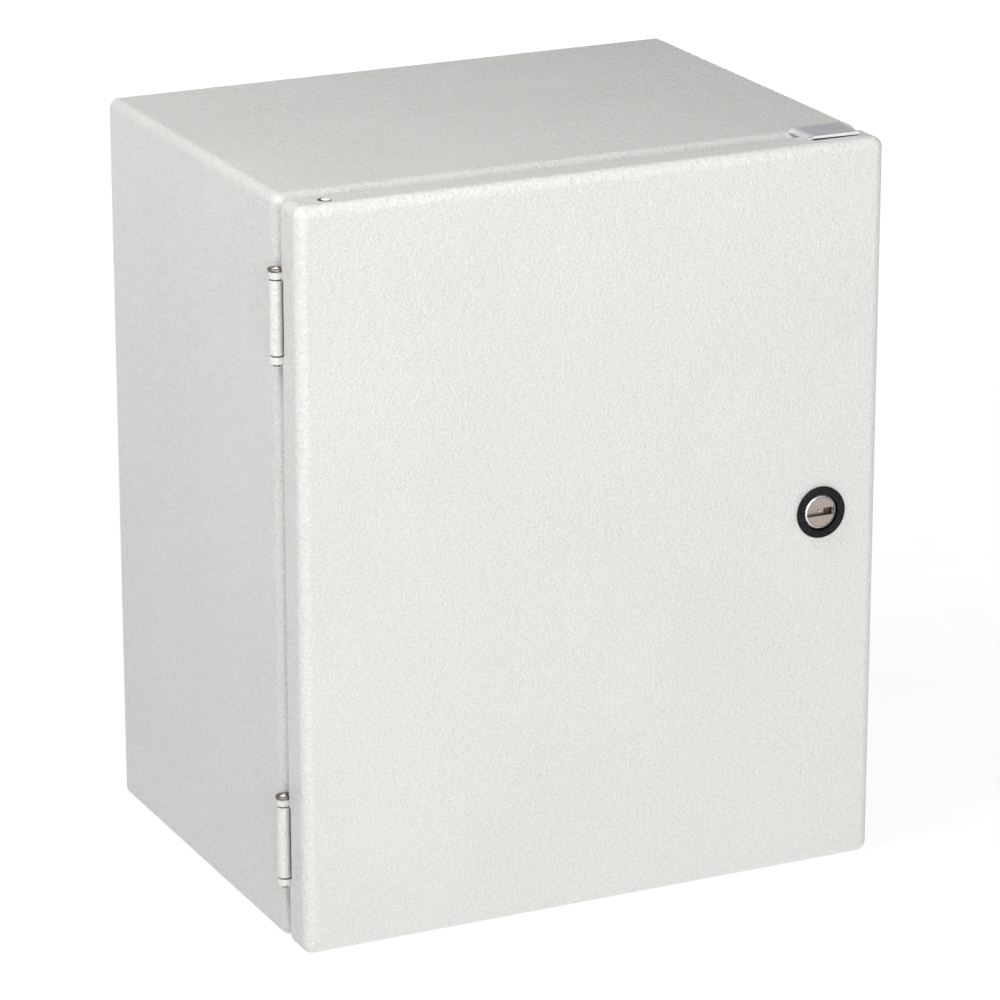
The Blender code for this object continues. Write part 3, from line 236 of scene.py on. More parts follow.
# Studio, in metres and watts
FLOOR_HALF = 6.0
FLOOR_THICK = 0.02
FLOOR_DROP = 0.0001  # keeps it clear of the cabinet's underside
FLOOR_GREY = (0.1, 0.1, 0.1, 1)
FLOOR_GLOW = {"From Min": 0.35, "From Max": 1.1, "To Min": 0.92, "To Max": 1.0}  # by distance from the middle
FLOOR_GRAIN = 0.03
FLOOR_GRAIN_SCALE = 40
MIDDLE_AIM = (0, 0, 0.15)
LEFT_AIM = (-0.1, 0, 0.25)
LAMPS = {  # place, what it points at, size, power
    "overhead": ((0, -0.5, 1.6), MIDDLE_AIM, (1.2, 1.2), 2.6),
    "front": ((-0.2, -2.2, 0.42), MIDDLE_AIM, (1.2, 0.8), 25.4),
    "key": ((-0.5, -0.9, 0.9), LEFT_AIM, (0.5, 0.5), 1.6),
    "upper_left": ((-0.7, -0.2, 1.5), LEFT_AIM, (0.6, 0.6), 20.8),
    "rear": ((0.9, 1.5, 0.16), MIDDLE_AIM, (1.2, 0.28), 4.0),
}

# Camera, at the front-left and above
CAMERA_PLACE = (-0.82447, -1.73305, 0.78002)
CAMERA_YAW = math.radians(25.589)
CAMERA_PITCH = math.radians(18.413)
CAMERA_LENS = 179.8
CAMERA_SENSOR = 36

TO_FRONT = Matrix.Rotation(math.radians(90), 4, "X")  # local +Z becomes -Y


# ---------------------------------------------------------------- materials


class Surface:
    """A Principled material with short calls for its procedural nodes, in the object's own metres."""

    def __init__(self, name, roughness=0.5, metallic=0.0):
        self.material = bpy.data.materials.new(name)
        self.material.use_nodes = True
        self.tree = self.material.node_tree
        self.shader = self.tree.nodes["Principled BSDF"]
        self.set("Roughness", roughness)
        self.set("Metallic", metallic)
        self.coords = self.tree.nodes.new("ShaderNodeTexCoord").outputs["Object"]
        self.height = None

    def set(self, socket, value):
        self.shader.inputs[socket].default_value = value

    def link(self, source, target):
        self.tree.links.new(source, target)

    def stretched(self, scale):
        """The object's coordinates with each axis scaled, for a texture that runs along one of them."""
        node = self.tree.nodes.new("ShaderNodeMapping")
        node.inputs["Scale"].default_value = scale
        self.link(self.coords, node.inputs["Vector"])
        return node.outputs["Vector"]

    def noise(self, size, detail=2.0, where=None, rough=0.5):
        """Noise whose lumps are about size across."""
        node = self.tree.nodes.new("ShaderNodeTexNoise")
        node.inputs["Scale"].default_value = 1.0 / size
        node.inputs["Detail"].default_value = detail
        node.inputs["Roughness"].default_value = rough
        self.link(where or self.coords, node.inputs["Vector"])
        return node.outputs["Fac"]

    def cells(self, size, output):
        """Cells about size across: their random colours, or the distance from their middles."""
        node = self.tree.nodes.new("ShaderNodeTexVoronoi")
        node.inputs["Scale"].default_value = 1.0 / size
        self.link(self.coords, node.inputs["Vector"])
        return node.outputs[output]

    def spread(self, value, low, high, start=0.3, end=0.7):
        """Maps value from start..end to low..high."""
        node = self.tree.nodes.new("ShaderNodeMapRange")
        for socket, number in zip(("From Min", "From Max", "To Min", "To Max"), (start, end, low, high)):
            node.inputs[socket].default_value = number
        self.link(value, node.inputs["Value"])
        return node.outputs["Result"]

    def mix(self, factor, first, second, kind="MIX"):
        """A mix of two colours, each a colour or a socket."""
        node = self.tree.nodes.new("ShaderNodeMix")
        node.data_type = "RGBA"
        node.blend_type = kind
        for socket, value in (("Factor", factor), ("A", first), ("B", second)):
            target = next(s for s in node.inputs if s.name == socket and s.enabled)
            if isinstance(value, bpy.types.NodeSocket):
                self.link(value, target)
            else:
                target.default_value = value if socket == "Factor" else (*value, 1.0)
        return next(s for s in node.outputs if s.enabled)

    def colour(self, socket):
        self.link(socket, self.shader.inputs["Base Color"])
        return self

    def roughness(self, socket):
        self.link(socket, self.shader.inputs["Roughness"])
        return self

    def bump(self, value, depth, strength=1.0):
        """Stacks a bump of that depth in metres on the ones before it."""
        node = self.tree.nodes.new("ShaderNodeBump")
        node.inputs["Distance"].default_value = depth
        node.inputs["Strength"].default_value = strength
        self.link(value, node.inputs["Height"])
        if self.height:
            self.link(self.height, node.inputs["Normal"])
        self.height = node.outputs["Normal"]
        self.link(self.height, self.shader.inputs["Normal"])
        return self


def shade(colour, factor):
    return tuple(channel * factor for channel in colour)


def powder_coat():
    """Light-grey powder coat: a fine orange peel and mottle, with a few tiny specks and chips."""
    grey = (0.66, 0.6535, 0.6385)
    made = Surface("powder_coat", 0.4)
    clouds = made.spread(made.noise(60 * MM, 2), 0.0, 1.0)
    grain = made.spread(made.noise(0.85 * MM, 2.0, rough=0.8), 0.0, 1.0, 0.36, 0.64)
    fine = made.mix(grain, shade(grey, 0.82), shade(grey, 1.18))
    base = made.mix(0.5, made.mix(clouds, shade(grey, 0.97), shade(grey, 1.03)), fine)
    speck = made.spread(made.cells(21 * MM, "Distance"), 1.0, 0.0, 0.010, 0.018)
    rare = made.spread(made.noise(35 * MM, 0), 0.0, 1.0, 0.6, 0.62)
    speck = made.mix(speck, (0, 0, 0), made.mix(rare, (0, 0, 0), (1, 1, 1)))
    made.colour(made.mix(speck, base, (0.30, 0.28, 0.25)))
    made.roughness(made.spread(made.noise(2.6 * MM, 2), 0.36, 0.46))
    made.bump(made.noise(3.6 * MM, 1), 0.3 * MM)
    return made.bump(made.noise(1.5 * MM, 3.0, rough=0.65), 0.5 * MM).material


def moulded(name, colour, roughness, grain=0.5 * MM, depth=0.02 * MM):
    """Moulded plastic with a fine spark-eroded grain and faint flow marks."""
    made = Surface(name, roughness)
    flow = made.spread(made.noise(14 * MM, 2), 0.0, 1.0)
    made.colour(made.mix(flow, shade(colour, 0.94), shade(colour, 1.06)))
    made.roughness(made.spread(made.noise(4 * MM, 2), roughness - 0.05, roughness + 0.06))
    return made.bump(made.noise(grain, 2), depth).material


def foam():
    made = Surface("closed_cell_foam", 0.85)
    pores = made.spread(made.cells(0.7 * MM, "Distance"), 0.0, 1.0, 0.0, 0.6)
    made.colour(made.mix(pores, (0.018, 0.018, 0.018), (0.045, 0.045, 0.044)))
    made.roughness(made.spread(made.noise(3 * MM), 0.8, 0.92))
    return made.bump(pores, 0.12 * MM, 0.6).material


def metal(name, colour, roughness, grain, stretch=(1, 1, 1), depth=0.01 * MM, spread=0.12):
    """Bare or plated metal: fine marks that run along the axis with the smallest stretch."""
    made = Surface(name, roughness, 1.0)
    along = made.stretched(stretch)
    marks = made.noise(grain, 4, along)
    dark, light = shade(colour, 1 - spread), shade(colour, 1 + spread / 2)
    made.colour(made.mix(made.spread(marks, 0.0, 1.0), dark, light))
    made.roughness(made.spread(made.noise(grain * 3, 3, along), roughness - 0.07, roughness + 0.1))
    return made.bump(marks, depth).material


def galvanised():
    """Hot-dip galvanised sheet with its spangle."""
    made = Surface("galvanised", 0.42, 1.0)
    flakes = made.spread(made.cells(9 * MM, "Color"), 0.0, 1.0, 0.2, 0.8)
    flake = made.mix(flakes, (0.40, 0.41, 0.42), (0.58, 0.58, 0.58))
    base = made.mix(made.noise(2 * MM, 4), (0.40, 0.41, 0.42), (0.48, 0.49, 0.50))
    made.colour(made.mix(0.7, base, flake, "OVERLAY"))
    made.roughness(made.spread(made.noise(7 * MM, 3), 0.36, 0.52))
    return made.bump(made.noise(1.2 * MM, 3), 0.01 * MM, 0.6).material


def clear_plastic(name, colour, alpha):
    """Clear moulded strip, faintly violet, with fine scratches along it."""
    made = Surface(name, 0.2)
    streaks = made.spread(made.noise(0.7 * MM, 3, made.stretched((0.12, 1, 1)), 0.65), 0.0, 1.0)
    made.colour(made.mix(streaks, shade(colour, 0.86), shade(colour, 1.12)))
    made.roughness(made.spread(made.noise(0.6 * MM, 3, made.stretched((0.1, 1, 1))), 0.14, 0.28))
    made.link(made.spread(made.noise(6 * MM, 1), alpha - 0.02, alpha + 0.02), made.shader.inputs["Alpha"])
    made.set("IOR", 1.49)
    return made.bump(made.noise(3 * MM, 1), 0.01 * MM).material


def satin_black():
    """Moulded black plastic, satin, with fine specks of dust."""
    made = Surface("satin_black", 0.42)
    made.set("Specular IOR Level", 0.16)
    dust = made.spread(made.noise(0.5 * MM, 3), 0.0, 1.0, 0.58, 0.72)
    made.colour(made.mix(dust, (0.0035, 0.0035, 0.004), (0.07, 0.068, 0.066)))
    made.roughness(made.spread(made.noise(2 * MM, 2), 0.36, 0.5))
    return made.bump(made.noise(0.7 * MM, 2), 0.05 * MM).material


def make_finishes():
    """Blender materials by the record's slot name, and a few for parts of a slot's pieces."""
    nickel = (0.44, 0.38, 0.345)
    zinc = (0.50, 0.50, 0.475)
    return {
        "textured_enamel": powder_coat(),
        "pin_steel": metal("pin_steel", (0.30, 0.265, 0.24), 0.34, 0.5 * MM, depth=0.02 * MM, spread=0.3),
        "black_plastic": moulded("black_plastic", (0.022, 0.022, 0.024), 0.5),
        "lock_bezel": satin_black(),
        "satin_nickel": metal("satin_nickel", nickel, 0.34, 0.35 * MM, (0.6, 1, 1), 0.03 * MM, 0.3),
        # a brighter copy of the nickel: painted highlights on the lock's rim and pip
        "painted_highlight_nickel": metal("painted_highlight_nickel", (0.86, 0.84, 0.82), 0.42, 0.5 * MM, spread=0.06),
        # a dark copy of the nickel: painted shade in the lock's well
        "painted_shade_nickel": metal("painted_shade_nickel", (0.15, 0.12, 0.10), 0.5, 0.4 * MM, spread=0.4),
        "clear_plastic": clear_plastic("clear_plastic", (0.575, 0.565, 0.592), 0.95),
        # a lighter copy of the clear plastic: painted highlights on the clip's edges
        "clear_painted_highlight": clear_plastic("clear_painted_highlight", (0.84, 0.84, 0.86), 0.92),
        # a lighter, more see-through copy of the clear plastic: painted light on the clip's ramp
        "clear_painted_light": clear_plastic("clear_painted_light", (0.97, 0.96, 0.98), 0.45),
        "foam_rubber": foam(),
        "light_plastic": moulded("light_plastic", (0.60, 0.61, 0.60), 0.45),
        "white_plastic": moulded("white_plastic", (0.82, 0.82, 0.81), 0.4),
        "grey_plastic": moulded("grey_plastic", (0.24, 0.25, 0.26), 0.48),
        "knob_plastic": moulded("red_plastic", (0.50, 0.022, 0.016), 0.36, 0.6 * MM, 0.015 * MM),
        "galvanised_sheet": galvanised(),
        "zinc_plate": metal("zinc_plate", zinc, 0.38, 0.8 * MM, depth=0.008 * MM),
        "brass": metal("brass", (0.68, 0.50, 0.22), 0.3, 0.5 * MM, (0.2, 1, 1), 0.01 * MM),
    }


# ---------------------------------------------------------------- mesh tools


def circle(radius, steps, z=0.0):
    turns = [2 * math.pi * k / steps for k in range(steps)]
    return [(radius * math.cos(a), radius * math.sin(a), z) for a in turns]


def square_loop(flats, steps, z):
    """A square's outline with its points at equal angles, to pair with a circle's."""
    loop = []
    for k in range(steps):
        angle = 2 * math.pi * k / steps
        from_flat = (angle + math.pi / 4) % (math.pi / 2) - math.pi / 4
        reach = flats / 2 / math.cos(from_flat)
        loop.append((reach * math.cos(angle), reach * math.sin(angle), z))
    return loop


def rounded_rectangle(half_x, half_y, radius, steps, z=0.0):
    """A loop with round corners, each of so many steps."""
    loop = []
    for quarter, (sx, sy) in enumerate(((1, 1), (-1, 1), (-1, -1), (1, -1))):
        for k in range(steps + 1):
            angle = math.pi / 2 * (quarter + k / steps)
            x = sx * (half_x - radius) + radius * math.cos(angle)
            y = sy * (half_y - radius) + radius * math.sin(angle)
            loop.append((x, y, z))
    return loop


def block(x0, x1, y0, y1, z0, z1):
    """A box as two loops; so are a prism and, with more loops, a turned shape."""
    return [[(x0, y0, z), (x1, y0, z), (x1, y1, z), (x0, y1, z)] for z in (z0, z1)]


def prism(outline, low, high):
    return [[(x, y, low) for x, y in outline], [(x, y, high) for x, y in outline]]


def turned(profile, steps=64):
    return [circle(radius, steps, z) for radius, z in profile]


def bend(centre, radius, start, end, steps=BEND_STEPS):
    """Points of a round as pairs, from one angle to another in degrees."""
    turns = [math.radians(start + (end - start) * k / steps) for k in range(steps + 1)]
    return [(centre[0] + radius * math.cos(a), centre[1] + radius * math.sin(a)) for a in turns]


def crown(radius, base, height, degrees):
    """A dome's profile: it narrows from radius at the base and rises by height, at those degrees."""
    turns = [math.radians(step) for step in degrees]
    return [(radius * math.cos(a), base + height * math.sin(a)) for a in turns]


def moved(loops, matrix):
    return [[tuple(matrix @ Vector(point)) for point in loop] for loop in loops]


def skin(builder, loops, ring):
    """Faces between following loops, and over both ends unless the last loop meets the first."""
    rows = [[builder.verts.new(point) for point in loop] for loop in loops]
    pairs = list(zip(rows, rows[1:]))
    if ring:
        pairs.append((rows[-1], rows[0]))
    else:
        builder.faces.new(rows[0])
        builder.faces.new(rows[-1])
    count = len(rows[0])
    for low, high in pairs:
        for k in range(count):
            following = (k + 1) % count
            builder.faces.new((low[k], low[following], high[following], high[k]))


def mesh_object(name, parts, ring=False):
    """One object from closed shapes, each a list of loops."""
    builder = bmesh.new()
    for loops in parts:
        skin(builder, loops, ring)
    bmesh.ops.recalc_face_normals(builder, faces=builder.faces)
    mesh = bpy.data.meshes.new(name)
    builder.to_mesh(mesh)
    builder.free()
    made = bpy.data.objects.new(name, mesh)
    bpy.context.scene.collection.objects.link(made)
    return made


def combine(piece, parts, operation):
    """Cuts from a piece, or joins to it, closed shapes that are then gone."""
    tool = mesh_object("tool", parts)
    step = piece.modifiers.new("step", "BOOLEAN")
    step.object, step.operation, step.solver = tool, operation, "EXACT"
    bpy.context.view_layer.update()
    result = bpy.data.meshes.new_from_object(piece.evaluated_get(bpy.context.evaluated_depsgraph_get()))
    piece.modifiers.clear()
    piece.data = result
    bpy.data.objects.remove(tool)
    return piece


def soften(piece, edge):
    """Rounds the piece's sharp edges, and keeps its flat faces flat in shading."""
    weld = piece.modifiers.new("weld", "WELD")
    weld.merge_threshold = 0.002 * MM
    if edge:
        rounding = piece.modifiers.new("edges", "BEVEL")
        rounding.width, rounding.segments = edge, 2
        rounding.limit_method, rounding.angle_limit = "ANGLE", math.radians(40)
        rounding.use_clamp_overlap = True
    piece.modifiers.new("flats", "WEIGHTED_NORMAL").keep_sharp = True


def smooth_shading():
    """Geometry nodes that shade a flat-shaded CAD solid smooth, apart from its sharp edges."""
    group = bpy.data.node_groups.new("smooth_shading", "GeometryNodeTree")
    group.interface.new_socket("Geometry", in_out="INPUT", socket_type="NodeSocketGeometry")
    group.interface.new_socket("Geometry", in_out="OUTPUT", socket_type="NodeSocketGeometry")
    start, end = group.nodes.new("NodeGroupInput"), group.nodes.new("NodeGroupOutput")
    faces, edges = [group.nodes.new("GeometryNodeSetShadeSmooth") for _ in range(2)]
    faces.domain, edges.domain = "FACE", "EDGE"
    edges.inputs["Shade Smooth"].default_value = False
    angle = group.nodes.new("GeometryNodeInputMeshEdgeAngle")
    sharp = group.nodes.new("FunctionNodeCompare")
    sharp.inputs["B"].default_value = SHARP_ANGLE
    group.links.new(start.outputs[0], faces.inputs["Geometry"])
    group.links.new(faces.outputs[0], edges.inputs["Geometry"])
    group.links.new(angle.outputs["Unsigned Angle"], sharp.inputs["A"])
    group.links.new(sharp.outputs[0], edges.inputs["Selection"])
    group.links.new(edges.outputs[0], end.inputs[0])
    return group


def refine(node, finish, edge, shading):
    """A carried-over CAD solid: its facets joined and shaded smooth, its edges rounded."""
    node.modifiers.new("weld", "WELD").merge_threshold = 0.002 * MM
    facets = node.modifiers.new("facets", "DECIMATE")
    facets.decimate_type, facets.angle_limit = "DISSOLVE", math.radians(0.5)
    node.modifiers.new("shading", "NODES").node_group = shading
    rounding = node.modifiers.new("edges", "BEVEL")
    rounding.width, rounding.segments = edge, 2
    rounding.limit_method, rounding.angle_limit = "ANGLE", math.radians(40)
    node.modifiers.new("flats", "WEIGHTED_NORMAL").keep_sharp = True
    node.data.materials.clear()
    node.data.materials.append(finish)


def finished(piece, body, slot, nodes=(), edge=0.0, look=None):
    """Shades a piece, gives it the finish of its slot, or of look, a finish other than its slot's, parents it
    to its body and hides the CAD nodes it stands for.
    """
    piece.data.shade_smooth()
    piece.data.set_sharp_from_angle(angle=SHARP_ANGLE)
    piece.data.materials.clear()
    piece.data.materials.append(FINISHES[look or slot])
    soften(piece, edge)
    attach(piece, body)
    if nodes:
        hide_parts(*nodes)


def middle_of(node):
    low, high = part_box(node)
    return (low + high) / 2


def facing_front(x, depth, z):
    """A place at that depth with its local +Z towards the viewer of the door."""
    return Matrix.Translation((x, FRONT + depth, z)) @ TO_FRONT


def cabinet_loop(inset, depth, corner, steps=CORNER_STEPS):
    """The cabinet's outline seen from the front, that far inside its sides."""
    radius = max(corner - inset, TIGHT_CORNER)
    flat = rounded_rectangle(WIDTH / 2 - inset, HEIGHT / 2 - inset, radius, steps)
    return [(MIDDLE_X + x, FRONT + depth, HEIGHT / 2 + z) for x, z, _ in flat]


# ---------------------------------------------------------------- cabinet


def notch(centre):
    """Room in the body's left side for one hinge, deeper where the body leaf's arm goes in."""
    half = HINGE_HEIGHT / 2
    arm = half - END_KNUCKLE
    shallow, deep = FRONT + NOTCH_DEPTH, FRONT + NOTCH_DEPTH + NOTCH_RELIEF
    front = FRONT + BODY_FRONT - OVERSHOOT
    outline = [
        (front, centre - half - NOTCH_CLEARANCE),
        (shallow, centre - half - NOTCH_CLEARANCE),
        (shallow, centre - arm),
        (deep, centre - arm),
        (deep, centre + arm),
        (shallow, centre + arm),
        (shallow, centre + half + NOTCH_CLEARANCE),
        (front, centre + half + NOTCH_CLEARANCE),
    ]
    return [[(x, y, z) for y, z in outline] for x in (LEFT - OVERSHOOT, LEFT + NOTCH_WIDTH)]


def cabinet_profile():
    """Inset and depth from the back edge round the front and its lip to the inside of the back."""
    back = bend((BACK_EDGE_BEND, DEPTH - BACK_EDGE_BEND), BACK_EDGE_BEND, 90, 180, steps=5)
    centre = (FRONT_EDGE_BEND, BODY_FRONT + FRONT_EDGE_BEND)
    front = bend(centre, FRONT_EDGE_BEND, 180, 270)
    lip = [
        (LIP_INSET, BODY_FRONT),
        (LIP_INSET, LIP_TIP + PAINT_EDGE),
        (LIP_INSET + PAINT_EDGE, LIP_TIP),
        (LIP_INSET + SHEET - PAINT_EDGE, LIP_TIP),
        (LIP_INSET + SHEET, LIP_TIP + PAINT_EDGE),
        (LIP_INSET + SHEET, BODY_FRONT + SHEET),
    ]
    inside = bend(centre, FRONT_EDGE_BEND - SHEET, 270, 180, steps=6)
    return back + front + lip + inside + [(SHEET, DEPTH - SHEET)]


def cabinet_studs():
    """Welded studs: on the back for the mounting plate, on the floor for the gland plate."""
    narrowing, lead = STUD_LEAD
    stud = turned([
        (STUD_BOSS_R, STUD_ROOT - DEPTH),
        (STUD_BOSS_R, -STUD_BOSS_FRONT),
        (STUD_R, -STUD_BOSS_FRONT),
        (STUD_R, -STUD_TIP - lead),
        (STUD_R - narrowing, -STUD_TIP),
    ], 32)
    gland_stud = turned([
        (GLAND_STUD_R, SHEET / 2),
        (GLAND_STUD_R, GLAND_STUD_TOP - GLAND_STUD_LEAD),
        (GLAND_STUD_R - GLAND_STUD_LEAD, GLAND_STUD_TOP),
    ], 32)
    studs = []
    for number in range(1, 5):
        spot = middle_of(f"mounting_nut_{number}")
        studs.append(moved(stud, facing_front(spot.x, 0, spot.z)))
        spot = middle_of(f"gland_nut_{number}")
        studs.append(moved(gland_stud, Matrix.Translation((spot.x, spot.y, 0))))
    return studs


def cabinet_cuts():
    """The gland opening in the base, four holes in the back and a notch for each hinge."""
    gland = middle_of("gland_plate")
    opening = [rounded_rectangle(*GLAND_OPENING, 8, z) for z in (-OVERSHOOT, SHEET + GAP)]
    cuts = [moved(opening, Matrix.Translation((gland.x, gland.y, 0)))]
    hole = [circle(WALL_HOLE_R, 32, z) for z in (-DEPTH - OVERSHOOT, OVERSHOOT - DEPTH + SHEET)]
    for number in range(1, 5):
        spot = middle_of(f"wall_plug_{number}")
        cuts.append(moved(hole, facing_front(spot.x, 0, spot.z)))
    return cuts + [notch(middle_of(f"{name}_hinge_body_leaf").z) for name in HINGES]


def make_cabinet():
    loops = [cabinet_loop(inset, depth, LONG_EDGE_BEND) for inset, depth in cabinet_profile()]
    body = mesh_object("cabinet", [loops])
    combine(body, cabinet_studs(), "UNION")
    combine(body, cabinet_cuts(), "DIFFERENCE")
    finished(body, "enclosure", "textured_enamel", ["enclosure_body"])


# ---------------------------------------------------------------- door


def make_door():
    centre = (DOOR_BEND, DOOR_BEND)
    rim = [
        (0.0, DOOR_DEPTH - PAINT_EDGE),
        (PAINT_EDGE, DOOR_DEPTH),
        (SHEET - PAINT_EDGE, DOOR_DEPTH),
        (SHEET, DOOR_DEPTH - PAINT_EDGE),
    ]
    profile = bend(centre, DOOR_BEND, 270, 180) + rim + bend(centre, DOOR_BEND - SHEET, 180, 270, steps=8)
    loops = [cabinet_loop(inset, depth, DOOR_BEND) for inset, depth in profile]
    door = mesh_object("door", [loops])

    lock = middle_of("lock_housing")
    hole = [circle(HOUSING_R + GAP, 64, z) for z in (-SHEET - OVERSHOOT, OVERSHOOT)]
    hang = turned([(HANG_HOLE_R, -SHEET - OVERSHOOT), (HANG_HOLE_R, OVERSHOOT)], 40)
    place = Matrix.Translation((LEFT + HANG_HOLE_FROM_LEFT, FRONT + HANG_HOLE_DEPTH, HEIGHT))
    cuts = [moved(hole, facing_front(lock.x, 0, lock.z)), moved(hang, place)]
    edge = FRONT + DOOR_DEPTH
    reach = HINGE_HEIGHT / 2 - END_KNUCKLE
    for name in HINGES:
        z = middle_of(f"{name}_hinge_body_leaf").z
        relief = (edge - RIM_RELIEF, edge + OVERSHOOT, z - reach, z + reach)
        cuts.append(block(LEFT - OVERSHOOT, LEFT + SHEET + OVERSHOOT, *relief))
    combine(door, cuts, "DIFFERENCE")
    finished(door, "door", "textured_enamel", ["door_panel"])
    fill_hang_hole(place)


def fill_hang_hole(place):
    """A dark bed in the small hole of the door's top flange as painted shade, with a white domed plug to one
    side so the bed shows as a painted shadow crescent.
    """
    shade_bed_r = HANG_HOLE_R - 0.05 * MM
    shade_bed = turned([(shade_bed_r, -HANG_SHADE_BED_FOOT), (shade_bed_r, -0.3 * MM), (shade_bed_r - 0.2 * MM, -HANG_SHADE_BED_DROP)], 40)
    finished(mesh_object("hang_hole_shade_bed", [moved(shade_bed, place)]), "door", "foam_rubber")
    dome = crown(HANG_PLUG_R, -HANG_PLUG_DROP, HANG_PLUG_CROWN, [90 / 8 * k for k in range(8)])
    plug = moved(turned(dome, 40), place @ Matrix.Translation(HANG_PLUG_SHIFT))
    finished(mesh_object("hang_hole_plug", [plug]), "door", "light_plastic", look="white_plastic")


def make_door_seal():
    """A foamed-in-place seal with a round crown and corners."""
    back, crest = SHEET + SEAL_STANDOFF, LIP_TIP - GAP
    middle = (SEAL_OUTER_INSET + SEAL_INNER_INSET) / 2
    half = (SEAL_INNER_INSET - SEAL_OUTER_INSET) / 2
    section = [(SEAL_OUTER_INSET, back)]
    for k in range(SEAL_STEPS + 1):
        angle = math.pi * k / SEAL_STEPS
        section.append((middle - half * math.cos(angle), crest - SEAL_CROWN * (1 - math.sin(angle))))
    section.append((SEAL_INNER_INSET, back))
    corner = SEAL_INNER_INSET + SEAL_CORNER
    loops = [cabinet_loop(inset, depth, corner, steps=8) for inset, depth in section]
    finished(mesh_object("door_seal", [loops], ring=True), "door", "foam_rubber", ["door_gasket"])


# ---------------------------------------------------------------- hinges


def arc(start, end, steps=44):
    return bend((0.0, 0.0), BARREL_R, start, end, steps)


def leaf_outline(barrel, arm):
    """The barrel's arc and the arm's corners, given in mm inside the side and in depth, round the axis."""
    return barrel + [(x * MM + HINGE_OUT, depth * MM - HINGE_DEPTH) for x, depth in arm]


def make_hinge(name):
    centre = middle_of(f"{name}_hinge_body_leaf").z
    place = Matrix.Translation((LEFT - HINGE_OUT, FRONT + HINGE_DEPTH, centre))
    half = HINGE_HEIGHT / 2
    middle = half - END_KNUCKLE
    bore = turned([(PIN_BORE_R, -half - OVERSHOOT), (PIN_BORE_R, half + OVERSHOOT)], 40)
    bore = moved(bore, place)

    outline = leaf_outline(arc(*BODY_ARC), BODY_ARM)
    loops = moved(prism(outline, SEAM - middle, middle - SEAM), place)
    fixed = combine(mesh_object(f"{name}_body_knuckle", [loops]), [bore], "DIFFERENCE")
    finished(fixed, "enclosure", "textured_enamel", [f"{name}_hinge_body_leaf"], PAINT_EDGE)

    outline = leaf_outline(arc(*DOOR_ARC), DOOR_ARM)
    swinging = mesh_object(f"{name}_door_knuckles", [moved(prism(outline, -half, half), place)])
    near = DOOR_DEPTH - RIM_RELIEF - HINGE_DEPTH - GAP
    window = moved(block(*WINDOW, near, near + WINDOW_REACH, -middle, middle), place)
    combine(swinging, [window], "DIFFERENCE")
    combine(swinging, [bore], "DIFFERENCE")
    finished(swinging, "door", "textured_enamel", [f"{name}_hinge_door_leaf"], PAINT_EDGE)
    make_pin(name, place)


def make_pin(name, place):
    """A pin with a lead at its tip, a round-edged head over the knuckles and a white cap in its dimple that
    paints the bright glint there.
    """
    tip = -HINGE_HEIGHT / 2 - PIN_TAIL
    seat = HINGE_HEIGHT / 2 + GAP
    top = seat + PIN_HEAD_HEIGHT
    shaft = [
        (PIN_R * PIN_NOSE, tip),
        (PIN_R, tip + PIN_LEAD),
        (PIN_R, seat),
        (PIN_HEAD_R, seat),
    ]
    edge = bend((PIN_HEAD_R - PIN_HEAD_EDGE, top - PIN_HEAD_EDGE), PIN_HEAD_EDGE, 0, 90, steps=6)
    dimple = [
        (DIMPLE_R + DIMPLE_EDGE, top),
        (DIMPLE_R, top - DIMPLE_EDGE),
        (DIMPLE_R, top - DIMPLE_DEPTH),
    ]
    pin = mesh_object(f"{name}_pin", [moved(turned(shaft + edge + dimple, 48), place)])
    finished(pin, "enclosure", "pin_steel", [f"{name}_hinge_pin"])
    # The white cap stands in for the bright glint in the pin's dimple: a painted highlight.
    dome = crown(DIMPLE_R - DIMPLE_EDGE, top - DIMPLE_DEPTH, DIMPLE_DEPTH, range(0, 90, 10))
    glint_cap = mesh_object(f"{name}_pin_glint_cap", [moved(turned(dome, 32), place)])
    finished(glint_cap, "enclosure", "light_plastic", look="white_plastic")


# ---------------------------------------------------------------- lock


def make_lock():
    spot = middle_of("lock_housing")
    place = facing_front(spot.x, 0, spot.z)
    make_lock_housing(place)
    make_lock_barrel(place)


def make_lock_housing(place):
    """One turned ring: the bezel on the door with its pocket, and the body and bore behind the door."""
    outer = bend((BEZEL_R - BEZEL_EDGE, BEZEL_PROUD - BEZEL_EDGE), BEZEL_EDGE, 90, 0, steps=6)
    pocket = (POCKET_R + POCKET_EDGE, BEZEL_PROUD - BEZEL_DISH - POCKET_EDGE)
    inner = bend(pocket, POCKET_EDGE, 180, 90, steps=4)
    profile = inner + [(BEZEL_R - BEZEL_CREST, BEZEL_PROUD)] + outer + [
        (BEZEL_R, GAP / 2),
        (HOUSING_R, GAP / 2),
        (HOUSING_R, -HOUSING_END),
        (HOUSING_BORE_R, -HOUSING_END),
        (HOUSING_BORE_R, -POCKET_DEPTH),
        (POCKET_R, -POCKET_DEPTH),
    ]
    housing = mesh_object("lock_bezel", [moved(turned(profile, LOCK_STEPS), place)], ring=True)
    finished(housing, "door", "lock_bezel", ["lock_housing"])


